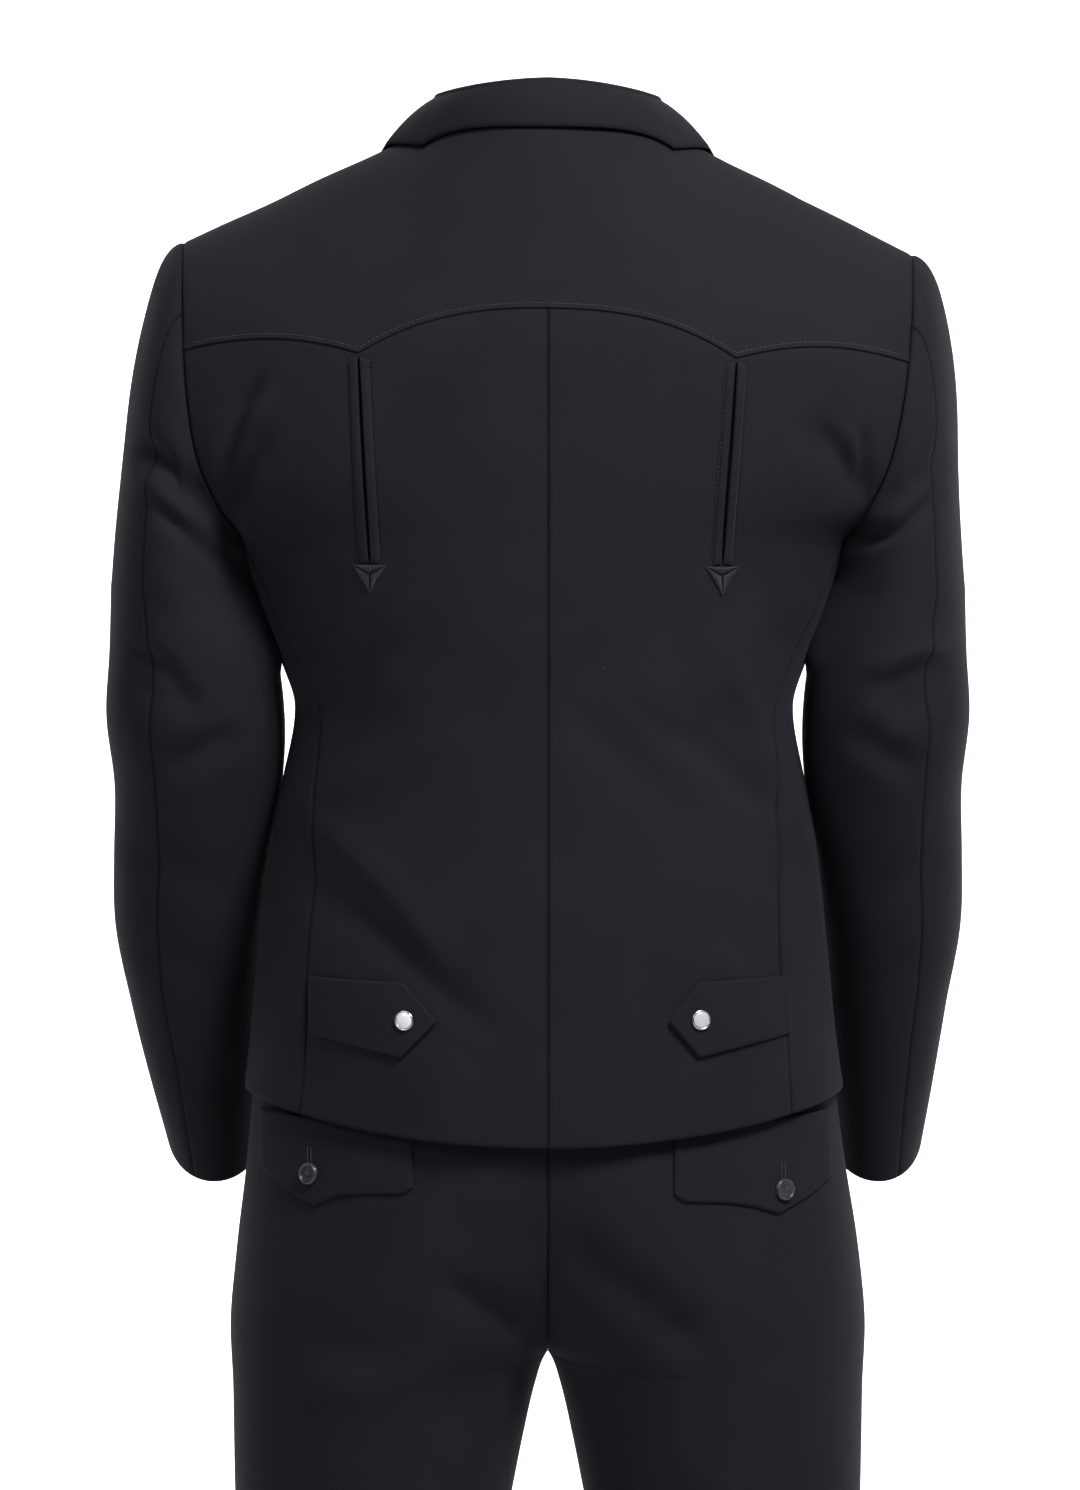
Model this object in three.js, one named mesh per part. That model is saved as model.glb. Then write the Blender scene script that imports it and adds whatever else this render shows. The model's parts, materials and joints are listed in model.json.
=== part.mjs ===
import * as THREE from "three";

// A western suit: a short fitted jacket with a scalloped back yoke, and full-length trousers, in the
// hollow form they keep on a general wearer. Millimetres, +Z up. The wearer faces -Y and the wearer's
// left is +X. The origin lies on the mid-plane, level with the highest point of the shoulder seams.

const JACKET_WALL = 1.8;          // fused wool with its turned edges
const TROUSER_WALL = 1.4;
const SEAM_GAP = 0.3;             // between neighbouring pieces
const ARMPIT_Z = -265;
const HEM_Z = { back: -652, side: -630, front: -640 };
const BODY_Y = 4;                 // depth of the side line of the jacket
const NECK = { halfWidth: 76, back: 58, front: 66, y: 6, z: -3, napeRise: 8, pitDrop: 72 };
const SHOULDER_TIP_Z = -77;
const UNDERARM_ANGLE = 163.5;     // the armhole angle where the side piece begins, 0 at the shoulder tip
const SHOULDER_ROW = 75;          // the armhole angle above which cloth turns over the shoulder
const NECK_SHARE = 0.34;          // share of a yoke row that ends on the neck seam
const FRONT_OVERLAP = 18;         // how far each front passes the middle
const BREAK_T = 0.76;             // row where the front's edge starts to turn back
const ROLL_CURVE = 0.85;          // below 1 the roll line bows towards the wearer's side
const CROTCH_Z = -806;
const TROUSER_HEM_Z = -1600;
const TROUSER_TOP_Z = -515;
const WAISTBAND_HEIGHT = 38;
const RIGHT_SHOULDER_DROP = 8;    // the wearer carries the right shoulder lower
const ARM_SWAY = 6.5;             // both arms hang a little towards the wearer's left

const V = (x, y, z) => new THREE.Vector3(x, y, z);
const DEGREE = Math.PI / 180;
const QUARTER = Math.PI / 2;
const mix = (a, b, s) => a + (b - a) * s;
const clamp = (value) => Math.min(1, Math.max(0, value));
const ease = (value) => clamp(value) ** 2 * (3 - 2 * clamp(value));
const steps = (from, to, count) => Array.from({ length: count + 1 }, (_, i) => mix(from, to, i / count));

// A table has named columns, and its first column rises from row to row.
const table = (names, rows) =>
  rows.map((row) => Object.fromEntries(row.map((value, i) => [names[i], value])));

// The value of one column at a place along the first column, on a smooth curve through the rows.
function read(rows, name, at) {
  const key = Object.keys(rows[0])[0];
  const last = rows.length - 1;
  const place = Math.min(rows[last][key], Math.max(rows[0][key], at));
  let i = 0;
  while (i < last - 1 && place > rows[i + 1][key]) i += 1;
  const slope = (j) => {
    const before = rows[Math.max(j - 1, 0)];
    const after = rows[Math.min(j + 1, last)];
    return (after[name] - before[name]) / (after[key] - before[key]);
  };
  const span = rows[i + 1][key] - rows[i][key];
  const s = (place - rows[i][key]) / span;
  return hermite(rows[i][name], slope(i) * span, rows[i + 1][name], slope(i + 1) * span, s);
}

// The same along straight lines between the rows.
function readStraight(rows, name, at) {
  const key = Object.keys(rows[0])[0];
  const i = Math.max(1, rows.findIndex((row) => row[key] >= at));
  const [before, after] = [rows[i - 1], rows[i]];
  return mix(before[name], after[name], (at - before[key]) / (after[key] - before[key]));
}

function hermite(start, startSlope, end, endSlope, s) {
  const s2 = s * s;
  const s3 = s2 * s;
  return start * (2 * s3 - 3 * s2 + 1) + startSlope * (s3 - 2 * s2 + s)
    + end * (3 * s2 - 2 * s3) + endSlope * (s3 - s2);
}

const hermitePoint = (p, pSlope, q, qSlope, s) => V(
  hermite(p.x, pSlope.x, q.x, qSlope.x, s),
  hermite(p.y, pSlope.y, q.y, qSlope.y, s),
  hermite(p.z, pSlope.z, q.z, qSlope.z, s));

// --- Jacket body ---------------------------------------------------------------------------------

// Half-width and depths of the closed rings from the hem to the armpit.
const TORSO = table(["z", "side", "back", "front"], [
  [-630, 197, 135, 121],
  [-600, 193, 133, 120],
  [-540, 187, 127, 119],
  [-480, 180, 121, 119],
  [-430, 171.5, 117, 119],
  [-380, 163, 115, 121],
  [-350, 171.5, 115.5, 122],
  [-320, 183, 117, 124],
  [-265, 202, 119, 126],
]);

// Where the side seams lie round the ring, 0 at the middle of the back, 1 at the side, 2 in front.
const SIDE_SEAMS = table(["t", "back", "front"], [
  [0, 0.60, 1.32],
  [0.4, 0.63, 1.28],
  [0.7, 0.72, 1.23],
  [1, 0.85, 1.15],
]);

function ring(t, c) {
  const atBack = c < 1;
  const sideZ = mix(HEM_Z.side, ARMPIT_Z, t);
  const middleZ = mix(atBack ? HEM_Z.back : HEM_Z.front, ARMPIT_Z, t);
  const angle = QUARTER * (atBack ? c : 2 - c);
  const depth = read(TORSO, atBack ? "back" : "front", sideZ);
  return V(
    read(TORSO, "side", sideZ) * Math.sin(angle),
    BODY_Y + (atBack ? 1 : -1) * depth * Math.cos(angle),
    mix(middleZ, sideZ, Math.sin(angle) ** 2));
}

const backSeamPoint = ring(1, read(SIDE_SEAMS, "back", 1));
const frontSeamPoint = ring(1, read(SIDE_SEAMS, "front", 1));

// The armhole, by angle round it: 0 at the shoulder tip, rising down the back, falling down the front.
const ARMHOLE = table(["angle", "x", "y", "z"], [
  [-UNDERARM_ANGLE, frontSeamPoint.x, frontSeamPoint.y, frontSeamPoint.z],
  [-145, 201, -47, -250],
  [-120, 203, -68, -215],
  [-90, 209, -74, -166],
  [-60, 220, -62, -122],
  [-30, 231, -36, -92],
  [0, 237, -4, SHOULDER_TIP_Z],
  [30, 236.5, 28, -92],
  [60, 235, 51, -123],
  [90, 231, 66, -168],
  [120, 223, 69, -212],
  [145, 209, 56, -246],
  [UNDERARM_ANGLE, backSeamPoint.x, backSeamPoint.y, backSeamPoint.z],
]);

function armhole(angle) {
  if (Math.abs(angle) <= UNDERARM_ANGLE) {
    return V(read(ARMHOLE, "x", angle), read(ARMHOLE, "y", angle), read(ARMHOLE, "z", angle));
  }
  const share = (180 - Math.abs(angle)) / (180 - UNDERARM_ANGLE);
  const seam = read(SIDE_SEAMS, angle > 0 ? "back" : "front", 1);
  return ring(1, mix(1, seam, share));
}

// Middle line and roundness of the rows above the armpit, by the armhole angle each row ends on.
const UPPER = {
  back: table(["angle", "z", "y", "bend"], [
    [SHOULDER_ROW, -148, 125.5, 53],
    [90, -171, 126, 55],
    [120, -214, 126, 60],
    [145, -246, 124.5, 68],
    [UNDERARM_ANGLE, ARMPIT_Z, BODY_Y + 119, 76.5],
  ]),
  front: table(["angle", "z", "y", "bend"], [
    [SHOULDER_ROW, -150, -107, 55],
    [90, -170, -113, 57],
    [120, -214, -121, 62],
    [145, -247, -122.5, 70],
    [UNDERARM_ANGLE, ARMPIT_Z, BODY_Y - 126, 76.5],
  ]),
};

function upperRow(face, angle, u) {
  const edge = armhole(face === "back" ? angle : -angle);
  const bend = read(UPPER[face], "bend", angle) * DEGREE;
  const share = Math.sin(bend * u) / Math.sin(bend);
  const crown = (Math.cos(bend * u) - Math.cos(bend)) / (1 - Math.cos(bend));
  return V(edge.x * share,
    mix(edge.y, read(UPPER[face], "y", angle), crown),
    mix(read(UPPER[face], "z", angle), edge.z, share ** 2));
}

// The top edge of the body: the neck seam, then the shoulder seam out to the tip.
function topEdge(face, u) {
  const side = Math.sign(u) || 1;
  const along = Math.abs(u);
  if (along <= NECK_SHARE) {
    const angle = QUARTER * along / NECK_SHARE;
    const atBack = face === "back";
    return V(side * NECK.halfWidth * Math.sin(angle),
      NECK.y + (atBack ? NECK.back : -NECK.front) * Math.cos(angle),
      NECK.z + (atBack ? NECK.napeRise * Math.cos(angle) ** 2 : -NECK.pitDrop * Math.cos(angle)));
  }
  const tip = armhole(0);
  const share = (along - NECK_SHARE) / (1 - NECK_SHARE);
  return V(side * mix(NECK.halfWidth, tip.x, share), mix(NECK.y, tip.y, share), mix(NECK.z, tip.z, share));
}

// Above the shoulder row the cloth rises and turns over the shoulder to the top edge, and its outer
// end is drawn onto the armhole.
function shoulderPart(face, u, angle) {
  const facing = face === "back" ? 1 : -1;
  const below = 5;
  const s = (SHOULDER_ROW - angle) / SHOULDER_ROW;
  const turned = (at) => {
    const start = upperRow(face, SHOULDER_ROW, at);
    const rise = start.clone().sub(upperRow(face, SHOULDER_ROW + below, at)).multiplyScalar(SHOULDER_ROW / below);
    const onShoulder = ease(Math.abs(at) / NECK_SHARE);
    const arrival = V(0, facing * mix(-68, -98, onShoulder), mix(86, 8, onShoulder));
    return hermitePoint(start, rise, topEdge(face, at), arrival, s);
  };
  const miss = armhole(facing * angle).sub(turned(1)).multiplyScalar(Math.abs(u) ** 3);
  miss.x *= Math.sign(u) || 1;
  return turned(u).add(miss);
}

// A point of the back or front of the body: u from the middle (0) to the side seam or armhole (1),
// t from the hem (0) to the armpit (1) and on to the top edge (2).
function bodyPoint(face, u, t) {
  if (t <= 1) {
    const seam = read(SIDE_SEAMS, face, t);
    const side = Math.sign(u) || 1;
    const point = ring(t, face === "back" ? seam * Math.abs(u) : 2 - (2 - seam) * Math.abs(u));
    point.x *= side;
    return point;
  }
  const angle = UNDERARM_ANGLE * (2 - t);
  return angle >= SHOULDER_ROW ? upperRow(face, angle, u) : shoulderPart(face, u, angle);
}

const backBody = (u, t) => bodyPoint("back", u, t);
const frontBody = (u, t) => bodyPoint("front", u, t);
const angleRow = (angle) => 2 - angle / UNDERARM_ANGLE;

// The two arches of the yoke's lower edge, which meet in a point over each slit.
const YOKE = { middleZ: -117, pointX: 120, pointZ: -145.5, sideX: 234, archRise: 8.5 };

function yokeEdgeZ(x) {
  const out = Math.abs(x);
  if (out < YOKE.pointX) return mix(YOKE.middleZ, YOKE.pointZ, (out / YOKE.pointX) ** 2.6);
  const half = (YOKE.sideX - YOKE.pointX) / 2;
  const s = (out - YOKE.pointX - half) / half;
  return YOKE.pointZ + YOKE.archRise * (1 - s * s);
}

function yokeEdgeRow(u) {
  if (Math.abs(u) > 0.999) return angleRow(SHOULDER_ROW);
  let low = 1.2;
  let high = 1.9;
  for (let i = 0; i < 30; i += 1) {
    const t = (low + high) / 2;
    const point = backBody(u, t);
    if (point.z < yokeEdgeZ(point.x)) low = t; else high = t;
  }
  return low;
}

// The place on a surface that has a given width and height, found by stepping towards it from a guess.
function locate(surface, x, z, guess) {
  let [u, t] = guess;
  const small = 1e-3;
  for (let i = 0; i < 12; i += 1) {
    const here = surface(u, t);
    const du = surface(u + small, t).sub(here).divideScalar(small);
    const dt = surface(u, t + small).sub(here).divideScalar(small);
    const det = du.x * dt.z - dt.x * du.z;
    u += ((x - here.x) * dt.z - dt.x * (z - here.z)) / det;
    t += (du.x * (z - here.z) - (x - here.x) * du.z) / det;
  }
  return [u, t];
}

// --- Sleeves -------------------------------------------------------------------------------------

// Rings down the arm, from the biceps (0) to the cuff (1). The forearm swings forward by tilt degrees.
const ARM = table(["along", "x", "y", "z", "halfX", "halfY", "tilt", "twist"], [
  [0, 235.8, 0, -300, 43.5, 76, 0, 3],
  [0.12, 227.4, 4, -345, 53, 71, 0, 3],
  [0.22, 226, 3, -385, 56.5, 66, 7, 3],
  [0.34, 225.5, -14, -430, 53.5, 62, 16, 5],
  [0.48, 229.5, -31, -480, 50.5, 60, 20, 7],
  [0.61, 232, -50, -530, 48.5, 58, 23, 9],
  [0.74, 228.5, -71, -580, 44, 57, 25, 9],
  [0.88, 225, -92, -632, 38, 57, 26, 8],
  [1, 222.5, -112, -680, 32, 56, 26, 6],
]);

// How the sleeve head leaves the armhole: its push outward, back or forward, and down, and its fall.
const SLEEVE_HEAD = table(["angle", "out", "away", "down", "fall"], [
  [0, 105, 0, 12, 200],
  [60, 70, 12, 20, 165],
  [90, 34, 14, 28, 115],
  [120, 24, 6, 28, 75],
  [150, 10, 0, 18, 42],
  [180, 4, 0, 12, 34],
]);

function armRing(along, angle) {
  const at = (name) => read(ARM, name, along);
  const turn = angle + at("twist") * Math.sin(Math.min(Math.abs(angle), 180) * DEGREE) * Math.sign(angle);
  const across = at("halfY") * Math.sin(turn * DEGREE);
  const tilt = at("tilt") * DEGREE;
  return V(at("x") + at("halfX") * Math.cos(turn * DEGREE),
    at("y") + across * Math.cos(tilt),
    at("z") - across * Math.sin(tilt));
}

// A point of the left sleeve: the angle round it as on the armhole, and r from the armhole (0) to the
// biceps (1) and on to the cuff (2).
function sleevePoint(angle, r) {
  if (r >= 1) return armRing(r - 1, angle);
  const head = (name) => read(SLEEVE_HEAD, name, Math.abs(angle));
  const leave = V(head("out"), Math.sign(angle) * head("away"), -head("down"));
  const arrive = V(20 * Math.cos(angle * DEGREE), 0, -head("fall"));
  return hermitePoint(armhole(angle), leave, armRing(0, angle), arrive, r);
}

// --- Trousers ------------------------------------------------------------------------------------

// Level sections of one leg: the ellipse's middle line and outer edge in X, its depths, its place in Y.
const LEG = table(["z", "middle", "outer", "back", "front", "y"], [
  [TROUSER_HEM_Z, 139, 197, 78, 80, 4],
  [-1400, 138.5, 199, 70, 74, 0],
  [-1180, 138, 202, 74, 78, -4],
  [-1000, 124, 205, 90, 86, -2],
  [-897, 115, 207, 99, 92, 0],
  [-864, 112, 207.5, 103, 95, 0],
  [-827, 108, 208, 108, 99, 0],
  [CROTCH_Z, 104.5, 209, 111, 101, 0],
  [-791, 97, 209.5, 114, 102.5, 0],
  [-776, 90.5, 209, 117, 104, 0],
  [-755, 80, 207, 121, 106, 0],
  [-725, 61, 203.5, 124, 107, 0],
  [-680, 27, 197, 125.5, 108, 1],
  [-640, 0, 192.5, 124, 108, 2],
  [-600, 0, 188.6, 120, 106, 2],
  [-560, 0, 173, 113, 103, 2],
  [TROUSER_TOP_Z, 0, 152, 104, 99, 2],
  [TROUSER_TOP_Z + WAISTBAND_HEIGHT + 2, 0, 149, 102, 98, 2],
]);
const CREASE = { top: -840, full: -930, rise: 5, width: 9 };

// A point of the left leg: k from the seat seam or inseam (0) to the outseam (1), at a level z.
function legPoint(face, k, z) {
  const at = (name) => read(LEG, name, z);
  const middle = Math.max(0, at("middle"));
  const halfX = at("outer") - middle;
  const inner = Math.acos(-Math.min(1, middle / halfX));
  const angle = inner * (1 - k);
  const pressed = CREASE.rise * ease((CREASE.top - z) / (CREASE.top - CREASE.full))
    * Math.exp(-(((angle / DEGREE - 90) / CREASE.width) ** 2));
  const depth = (at(face) + pressed) * Math.sin(angle);
  return V(middle + halfX * Math.cos(angle), at("y") + (face === "back" ? depth : -depth), z);
}

// --- Folds and stance ----------------------------------------------------------------------------

// The largest soft folds, each along a line in width and height: troughs go in, ridges come out.
const foldColumns = ["x0", "z0", "x1", "z1", "width", "depth"];
const FOLDS = {
  back: table(foldColumns, [
    [150, -485, 45, -578, 17, -6],
    [185, -200, 200, -240, 12, -5],
    [-112, -335, -166, -470, 16, 4.4],
    [-85, -380, -150, -440, 16, -4],
    [-176, -190, -205, -230, 14, -6],
  ]),
  front: table(foldColumns, [
    [60, -400, 160, -330, 20, -5],
    [-60, -400, -160, -330, 20, -5],
  ]),
  sleeve: table(foldColumns, [
    [262, -355, 225, -372, 11, -6],
    [262, -205, 228, -240, 11, -5],
    [240, -415, 200, -395, 11, -5],
  ]),
  seat: table(foldColumns, [
    [-3, -715, -92, -779, 17, -7],
    [62, -745, 13, -776, 14, -4],
    [150, -815, 80, -806, 14, 4],
  ]),
};

function foldDepth(folds, x, z) {
  return folds.reduce((sum, fold) => {
    const dx = fold.x1 - fold.x0;
    const dz = fold.z1 - fold.z0;
    const length = Math.hypot(dx, dz);
    const along = ((x - fold.x0) * dx + (z - fold.z0) * dz) / length ** 2;
    const aside = ((x - fold.x0) * dz - (z - fold.z0) * dx) / length;
    const past = Math.max(0, Math.abs(along - 0.5) - 0.35) * length;
    return sum + fold.depth * Math.exp(-((aside / fold.width) ** 2) - (past / (1.3 * fold.width)) ** 2);
  }, 0);
}

// The stance carries the right shoulder lower and lets both arms hang towards the wearer's left.
function stance(point) {
  const low = clamp(-point.x / 236) ** 1.3 * ease((point.z + 380) / 240);
  const hang = ease((-80 - point.z) / 200) * ease((point.z + 760) / 200);
  const out = Math.abs(point.x) / 282;
  return V(point.x + ARM_SWAY * hang * out ** 1.7, point.y, point.z - RIGHT_SHOULDER_DROP * low);
}

// --- Cloth walls ---------------------------------------------------------------------------------

// The outward direction of a surface; facing is -1 where its two parameters turn the other way round.
function outwardOf(surface, facing, a, b) {
  const small = 2e-3;
  const alongA = surface(a + small, b).sub(surface(a - small, b));
  const alongB = surface(a, b + small).sub(surface(a, b - small));
  return alongA.cross(alongB).multiplyScalar(facing).normalize();
}

// A surface moved out by a height that may change over it.
const lifted = (surface, facing, height) => (a, b) => {
  const point = surface(a, b);
  return point.clone().addScaledVector(outwardOf(surface, facing, a, b), height(point, a, b));
};

// The wall between an outer and an inner grid, one closed solid, drawn in from its edges by half a seam.
function wall(outer, inner) {
  const rows = outer.length;
  const columns = outer[0].length;
  const draw = (grid) => grid.map((line, i) => line.map((point, j) => {
    const moved = point.clone();
    const pull = (to) => moved.addScaledVector(to.clone().sub(point).setLength(1), SEAM_GAP * 0.6);
    if (i === 0) pull(grid[1][j]);
    if (i === rows - 1) pull(grid[rows - 2][j]);
    if (j === 0) pull(line[1]);
    if (j === columns - 1) pull(line[columns - 2]);
    return stance(moved);
  }));
  const points = [...draw(outer).flat(), ...draw(inner).flat()];
  const under = rows * columns;
  const faces = [];
  const at = (i, j) => i * columns + j;
  const quad = (a, b, c, d) => faces.push(a, b, c, a, c, d);
  for (let i = 0; i + 1 < rows; i += 1) {
    for (let j = 0; j + 1 < columns; j += 1) {
      quad(at(i, j), at(i, j + 1), at(i + 1, j + 1), at(i + 1, j));
      quad(under + at(i, j), under + at(i + 1, j), under + at(i + 1, j + 1), under + at(i, j + 1));
    }
  }
  const border = [];
  for (let j = 0; j < columns; j += 1) border.push(at(0, j));
  for (let i = 1; i < rows; i += 1) border.push(at(i, columns - 1));
  for (let j = columns - 2; j >= 0; j -= 1) border.push(at(rows - 1, j));
  for (let i = rows - 2; i > 0; i -= 1) border.push(at(i, 0));
  border.forEach((a, i) => {
    const b = border[(i + 1) % border.length];
    quad(b, a, under + a, under + b);
  });
  const geometry = new THREE.BufferGeometry();
  geometry.setAttribute("position",
    new THREE.Float32BufferAttribute(points.flatMap((point) => point.toArray()), 3));
  geometry.setIndex(faces);
  return facedOutward(geometry);
}

// The same solid with its faces turned outward.
function facedOutward(geometry) {
  const position = geometry.getAttribute("position");
  const index = [...geometry.getIndex().array];
  const corner = (i) => V(0, 0, 0).fromBufferAttribute(position, index[i]);
  let volume = 0;
  for (let i = 0; i < index.length; i += 3) volume += corner(i).dot(corner(i + 1).cross(corner(i + 2)));
  if (volume < 0) {
    for (let i = 0; i < index.length; i += 3) [index[i], index[i + 1]] = [index[i + 1], index[i]];
    geometry.setIndex(index);
  }
  geometry.computeVertexNormals();
  return geometry;
}

const mirroredPoint = (point) => V(-point.x, point.y, point.z);

// One panel: the places of its grid on a surface, and the way in from each to the wall's inner side.
function panel(surface, facing, places, thickness, { mirror = false, wayIn = () => null } = {}) {
  const inward = (a, b) => wayIn(a, b)
    ?? outwardOf(surface, facing, a, b).multiplyScalar(-thickness);
  const side = (grid) => (mirror ? grid.map((line) => line.map(mirroredPoint)) : grid);
  const outer = places.map((line) => line.map(([a, b]) => surface(a, b)));
  const inner = places.map((line, i) => line.map(([a, b], j) => outer[i][j].clone().add(inward(a, b))));
  const geometry = wall(side(outer), side(inner));
  geometry.userData.facets = facets(side(outer));
  return geometry;
}

// The flat triangles that a grid of points makes, as the wall has them.
const facets = (grid) => grid.slice(1).flatMap((line, i) => line.slice(1).flatMap((corner, j) => [
  [grid[i][j], grid[i][j + 1], corner],
  [grid[i][j], corner, line[j]],
]));

// Where a point above or below some facets meets them, looking along the way out.
function restOn(triangles, point, way) {
  const reach = 12;
  const ray = new THREE.Ray(point.clone().addScaledVector(way, reach), way.clone().negate());
  const hits = triangles.map((triangle) => ray.intersectTriangle(...triangle, false, V(0, 0, 0)))
    .filter((hit) => hit && hit.distanceTo(ray.origin) < 2 * reach)
    .sort((a, b) => a.distanceTo(ray.origin) - b.distanceTo(ray.origin));
  return hits[0] ?? point;
}

// --- Cloth surfaces ------------------------------------------------------------------------------

// Folds fade out towards the armhole, where two pieces share one line.
const clearOfArmhole = (u, t) => (t > 1 ? 1 - Math.abs(u) ** 6 : 1);
const backCloth = lifted(backBody, -1,
  (point, u, t) => foldDepth(FOLDS.back, point.x, point.z) * clearOfArmhole(u, t));
const FRONT_LAP = { lift: 3.6, from: 20, to: 60 };
const frontFolds = (point, u, t) => foldDepth(FOLDS.front, point.x, point.z) * clearOfArmhole(u, t);
const overLap = (point) => FRONT_LAP.lift
  * (1 - ease((point.x - FRONT_LAP.from) / (FRONT_LAP.to - FRONT_LAP.from)));
const frontCloth = {
  left: lifted(frontBody, 1, (point, u, t) => frontFolds(point, u, t) + overLap(point)),
  right: lifted(frontBody, 1, frontFolds),
};
const sideCloth = {
  left: lifted(ring, 1, (point, t, c) => (c < 1 ? foldDepth(FOLDS.back, point.x, point.z) : 0)),
  right: lifted(ring, 1, (point, t, c) => (c < 1 ? foldDepth(FOLDS.back, -point.x, point.z) : 0)),
};
const sleeveCloth = lifted(sleevePoint, -1,
  (point, angle, r) => foldDepth(FOLDS.sleeve, point.x, point.z) * ease(r / 0.4)
    * Math.max(0, Math.sin(angle * DEGREE)));
const seatCloth = (side) => lifted((k, z) => legPoint("back", k, z), -1,
  (point, k) => foldDepth(FOLDS.seat, side * point.x, point.z) * ease(k / 0.1));
const legCloth = { left: seatCloth(1), right: seatCloth(-1) };
const legFront = (k, z) => legPoint("front", k, z);

// At the armhole the body and the sleeve meet at an angle, so both walls turn in along one mitre.
function armholeMitre(angle) {
  const wrapped = angle > 180 ? angle - 360 : angle;
  const around = Math.abs(wrapped);
  const body = around > UNDERARM_ANGLE
    ? outwardOf(ring, 1, 1, 1)
    : outwardOf(wrapped < 0 ? frontBody : backBody, wrapped < 0 ? 1 : -1, 1, angleRow(around));
  const sleeve = outwardOf(sleevePoint, -1, wrapped, 0.004);
  const between = body.clone().add(sleeve).normalize();
  return between.multiplyScalar(-JACKET_WALL / Math.max(0.7, between.dot(body)));
}

const bodyWayIn = (sign) => (u, t) => {
  if (t < 1 || Math.abs(u) < 0.999) return null;
  const way = armholeMitre(sign * UNDERARM_ANGLE * (2 - t));
  return u < 0 ? mirroredPoint(way) : way;
};

// --- Jacket pieces -------------------------------------------------------------------------------

const LOWER_ROWS = steps(0, 1, 9);
const FRONT_SEAM_ANGLE = 115;     // of the sleeve, in front
const HIND_SEAM_ANGLE = 60;       // of the sleeve, behind
const CELLS = { backUpper: 6, yoke: 5, frontLower: 3, frontUpper: 7, side: 4, sleeveHead: 5, arm: 11 };
const hindAngles = steps(UNDERARM_ANGLE, SHOULDER_ROW, CELLS.backUpper);
const yokeAngles = steps(SHOULDER_ROW, 0, CELLS.yoke);
const frontAngles = [
  ...steps(UNDERARM_ANGLE, FRONT_SEAM_ANGLE, CELLS.frontLower),
  ...steps(FRONT_SEAM_ANGLE, 0, CELLS.frontUpper).slice(1),
];

// The share of the yoke's lower edge, out from the middle, at its point over a slit.
function findYokePoint() {
  let low = 0.2;
  let high = 0.8;
  for (let i = 0; i < 30; i += 1) {
    const u = (low + high) / 2;
    if (backBody(u, yokeEdgeRow(u)).x < YOKE.pointX) low = u; else high = u;
  }
  return low;
}

const yokePointU = findYokePoint();
const backColumns = [...steps(0, NECK_SHARE, 3), ...steps(yokePointU, 1, 4)];
const yokeColumns = [...backColumns.slice(1).reverse().map((u) => -u), ...backColumns];

function backPanel(side) {
  const columns = backColumns.map((u) => side * u);
  const lower = LOWER_ROWS.map((t) => columns.map((u) => [u, t]));
  const upper = hindAngles.slice(1).map((_, j) =>
    columns.map((u) => [u, mix(1, yokeEdgeRow(u), (j + 1) / CELLS.backUpper)]));
  return panel(backCloth, -1, [...lower, ...upper], JACKET_WALL, { wayIn: bodyWayIn(1) });
}

function backYoke() {
  const rows = steps(0, 1, CELLS.yoke).map((s) =>
    yokeColumns.map((u) => [u, mix(yokeEdgeRow(u), 2, s)]));
  return panel(backCloth, -1, rows, JACKET_WALL, { wayIn: bodyWayIn(1) });
}

function sidePanel(side) {
  const places = LOWER_ROWS.map((t) =>
    steps(read(SIDE_SEAMS, "back", t), read(SIDE_SEAMS, "front", t), CELLS.side).map((c) => [t, c]));
  const [behind, ahead] = [read(SIDE_SEAMS, "back", 1), read(SIDE_SEAMS, "front", 1)];
  const underarm = (t, c) => (t < 1 ? null : armholeMitre(c < 1
    ? mix(UNDERARM_ANGLE, 180, (c - behind) / (1 - behind))
    : -mix(180, UNDERARM_ANGLE, (c - 1) / (ahead - 1))));
  return panel(sideCloth[side], 1, places, JACKET_WALL, { mirror: side === "right", wayIn: underarm });
}

// The front's inner edge: straight up the overlap, then along the break line to the neck.
function frontEdge(t) {
  const low = Math.min(t, BREAK_T);
  const width = frontBody(1, low).x;
  const bend = low < 1 ? QUARTER * (2 - read(SIDE_SEAMS, "front", low)) : 1;
  const overlap = -Math.asin(FRONT_OVERLAP * Math.sin(bend) / width) / bend;
  return t <= BREAK_T ? overlap
    : mix(overlap, NECK_SHARE, ((t - BREAK_T) / (2 - BREAK_T)) ** ROLL_CURVE);
}

function frontPanel(side) {
  const rows = [...LOWER_ROWS, ...frontAngles.slice(1).map(angleRow)];
  const places = rows.map((t) => steps(frontEdge(t), 1, 6).map((u) => [u, t]));
  return panel(frontCloth[side], 1, places, JACKET_WALL,
    { mirror: side === "right", wayIn: bodyWayIn(-1) });
}

// The lapel turns back along the break line and lies on the front, up to the gorge under the collar.
const LAPEL = { wall: 2, clear: 0.9, startT: 1.04, gorgeT: 1.74, widest: 78, slant: 0.09 };

function lapel(side) {
  const height = (point) => LAPEL.clear + LAPEL.wall + (side === "left" ? overLap(point) : 0);
  const over = lifted(frontBody, 1, height);
  const places = steps(0.03, 1, 8).map((s) => {
    const t = mix(LAPEL.startT, LAPEL.gorgeT - 0.012, s);
    const start = frontEdge(t);
    const reach = LAPEL.widest * Math.sin(s * QUARTER) ** 0.8 / frontBody(1, t).x;
    return steps(0, 1, 3).map((k) => [start + reach * k, t - LAPEL.slant * k * s]);
  });
  return panel(over, 1, places, LAPEL.wall, { mirror: side === "right" });
}

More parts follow.
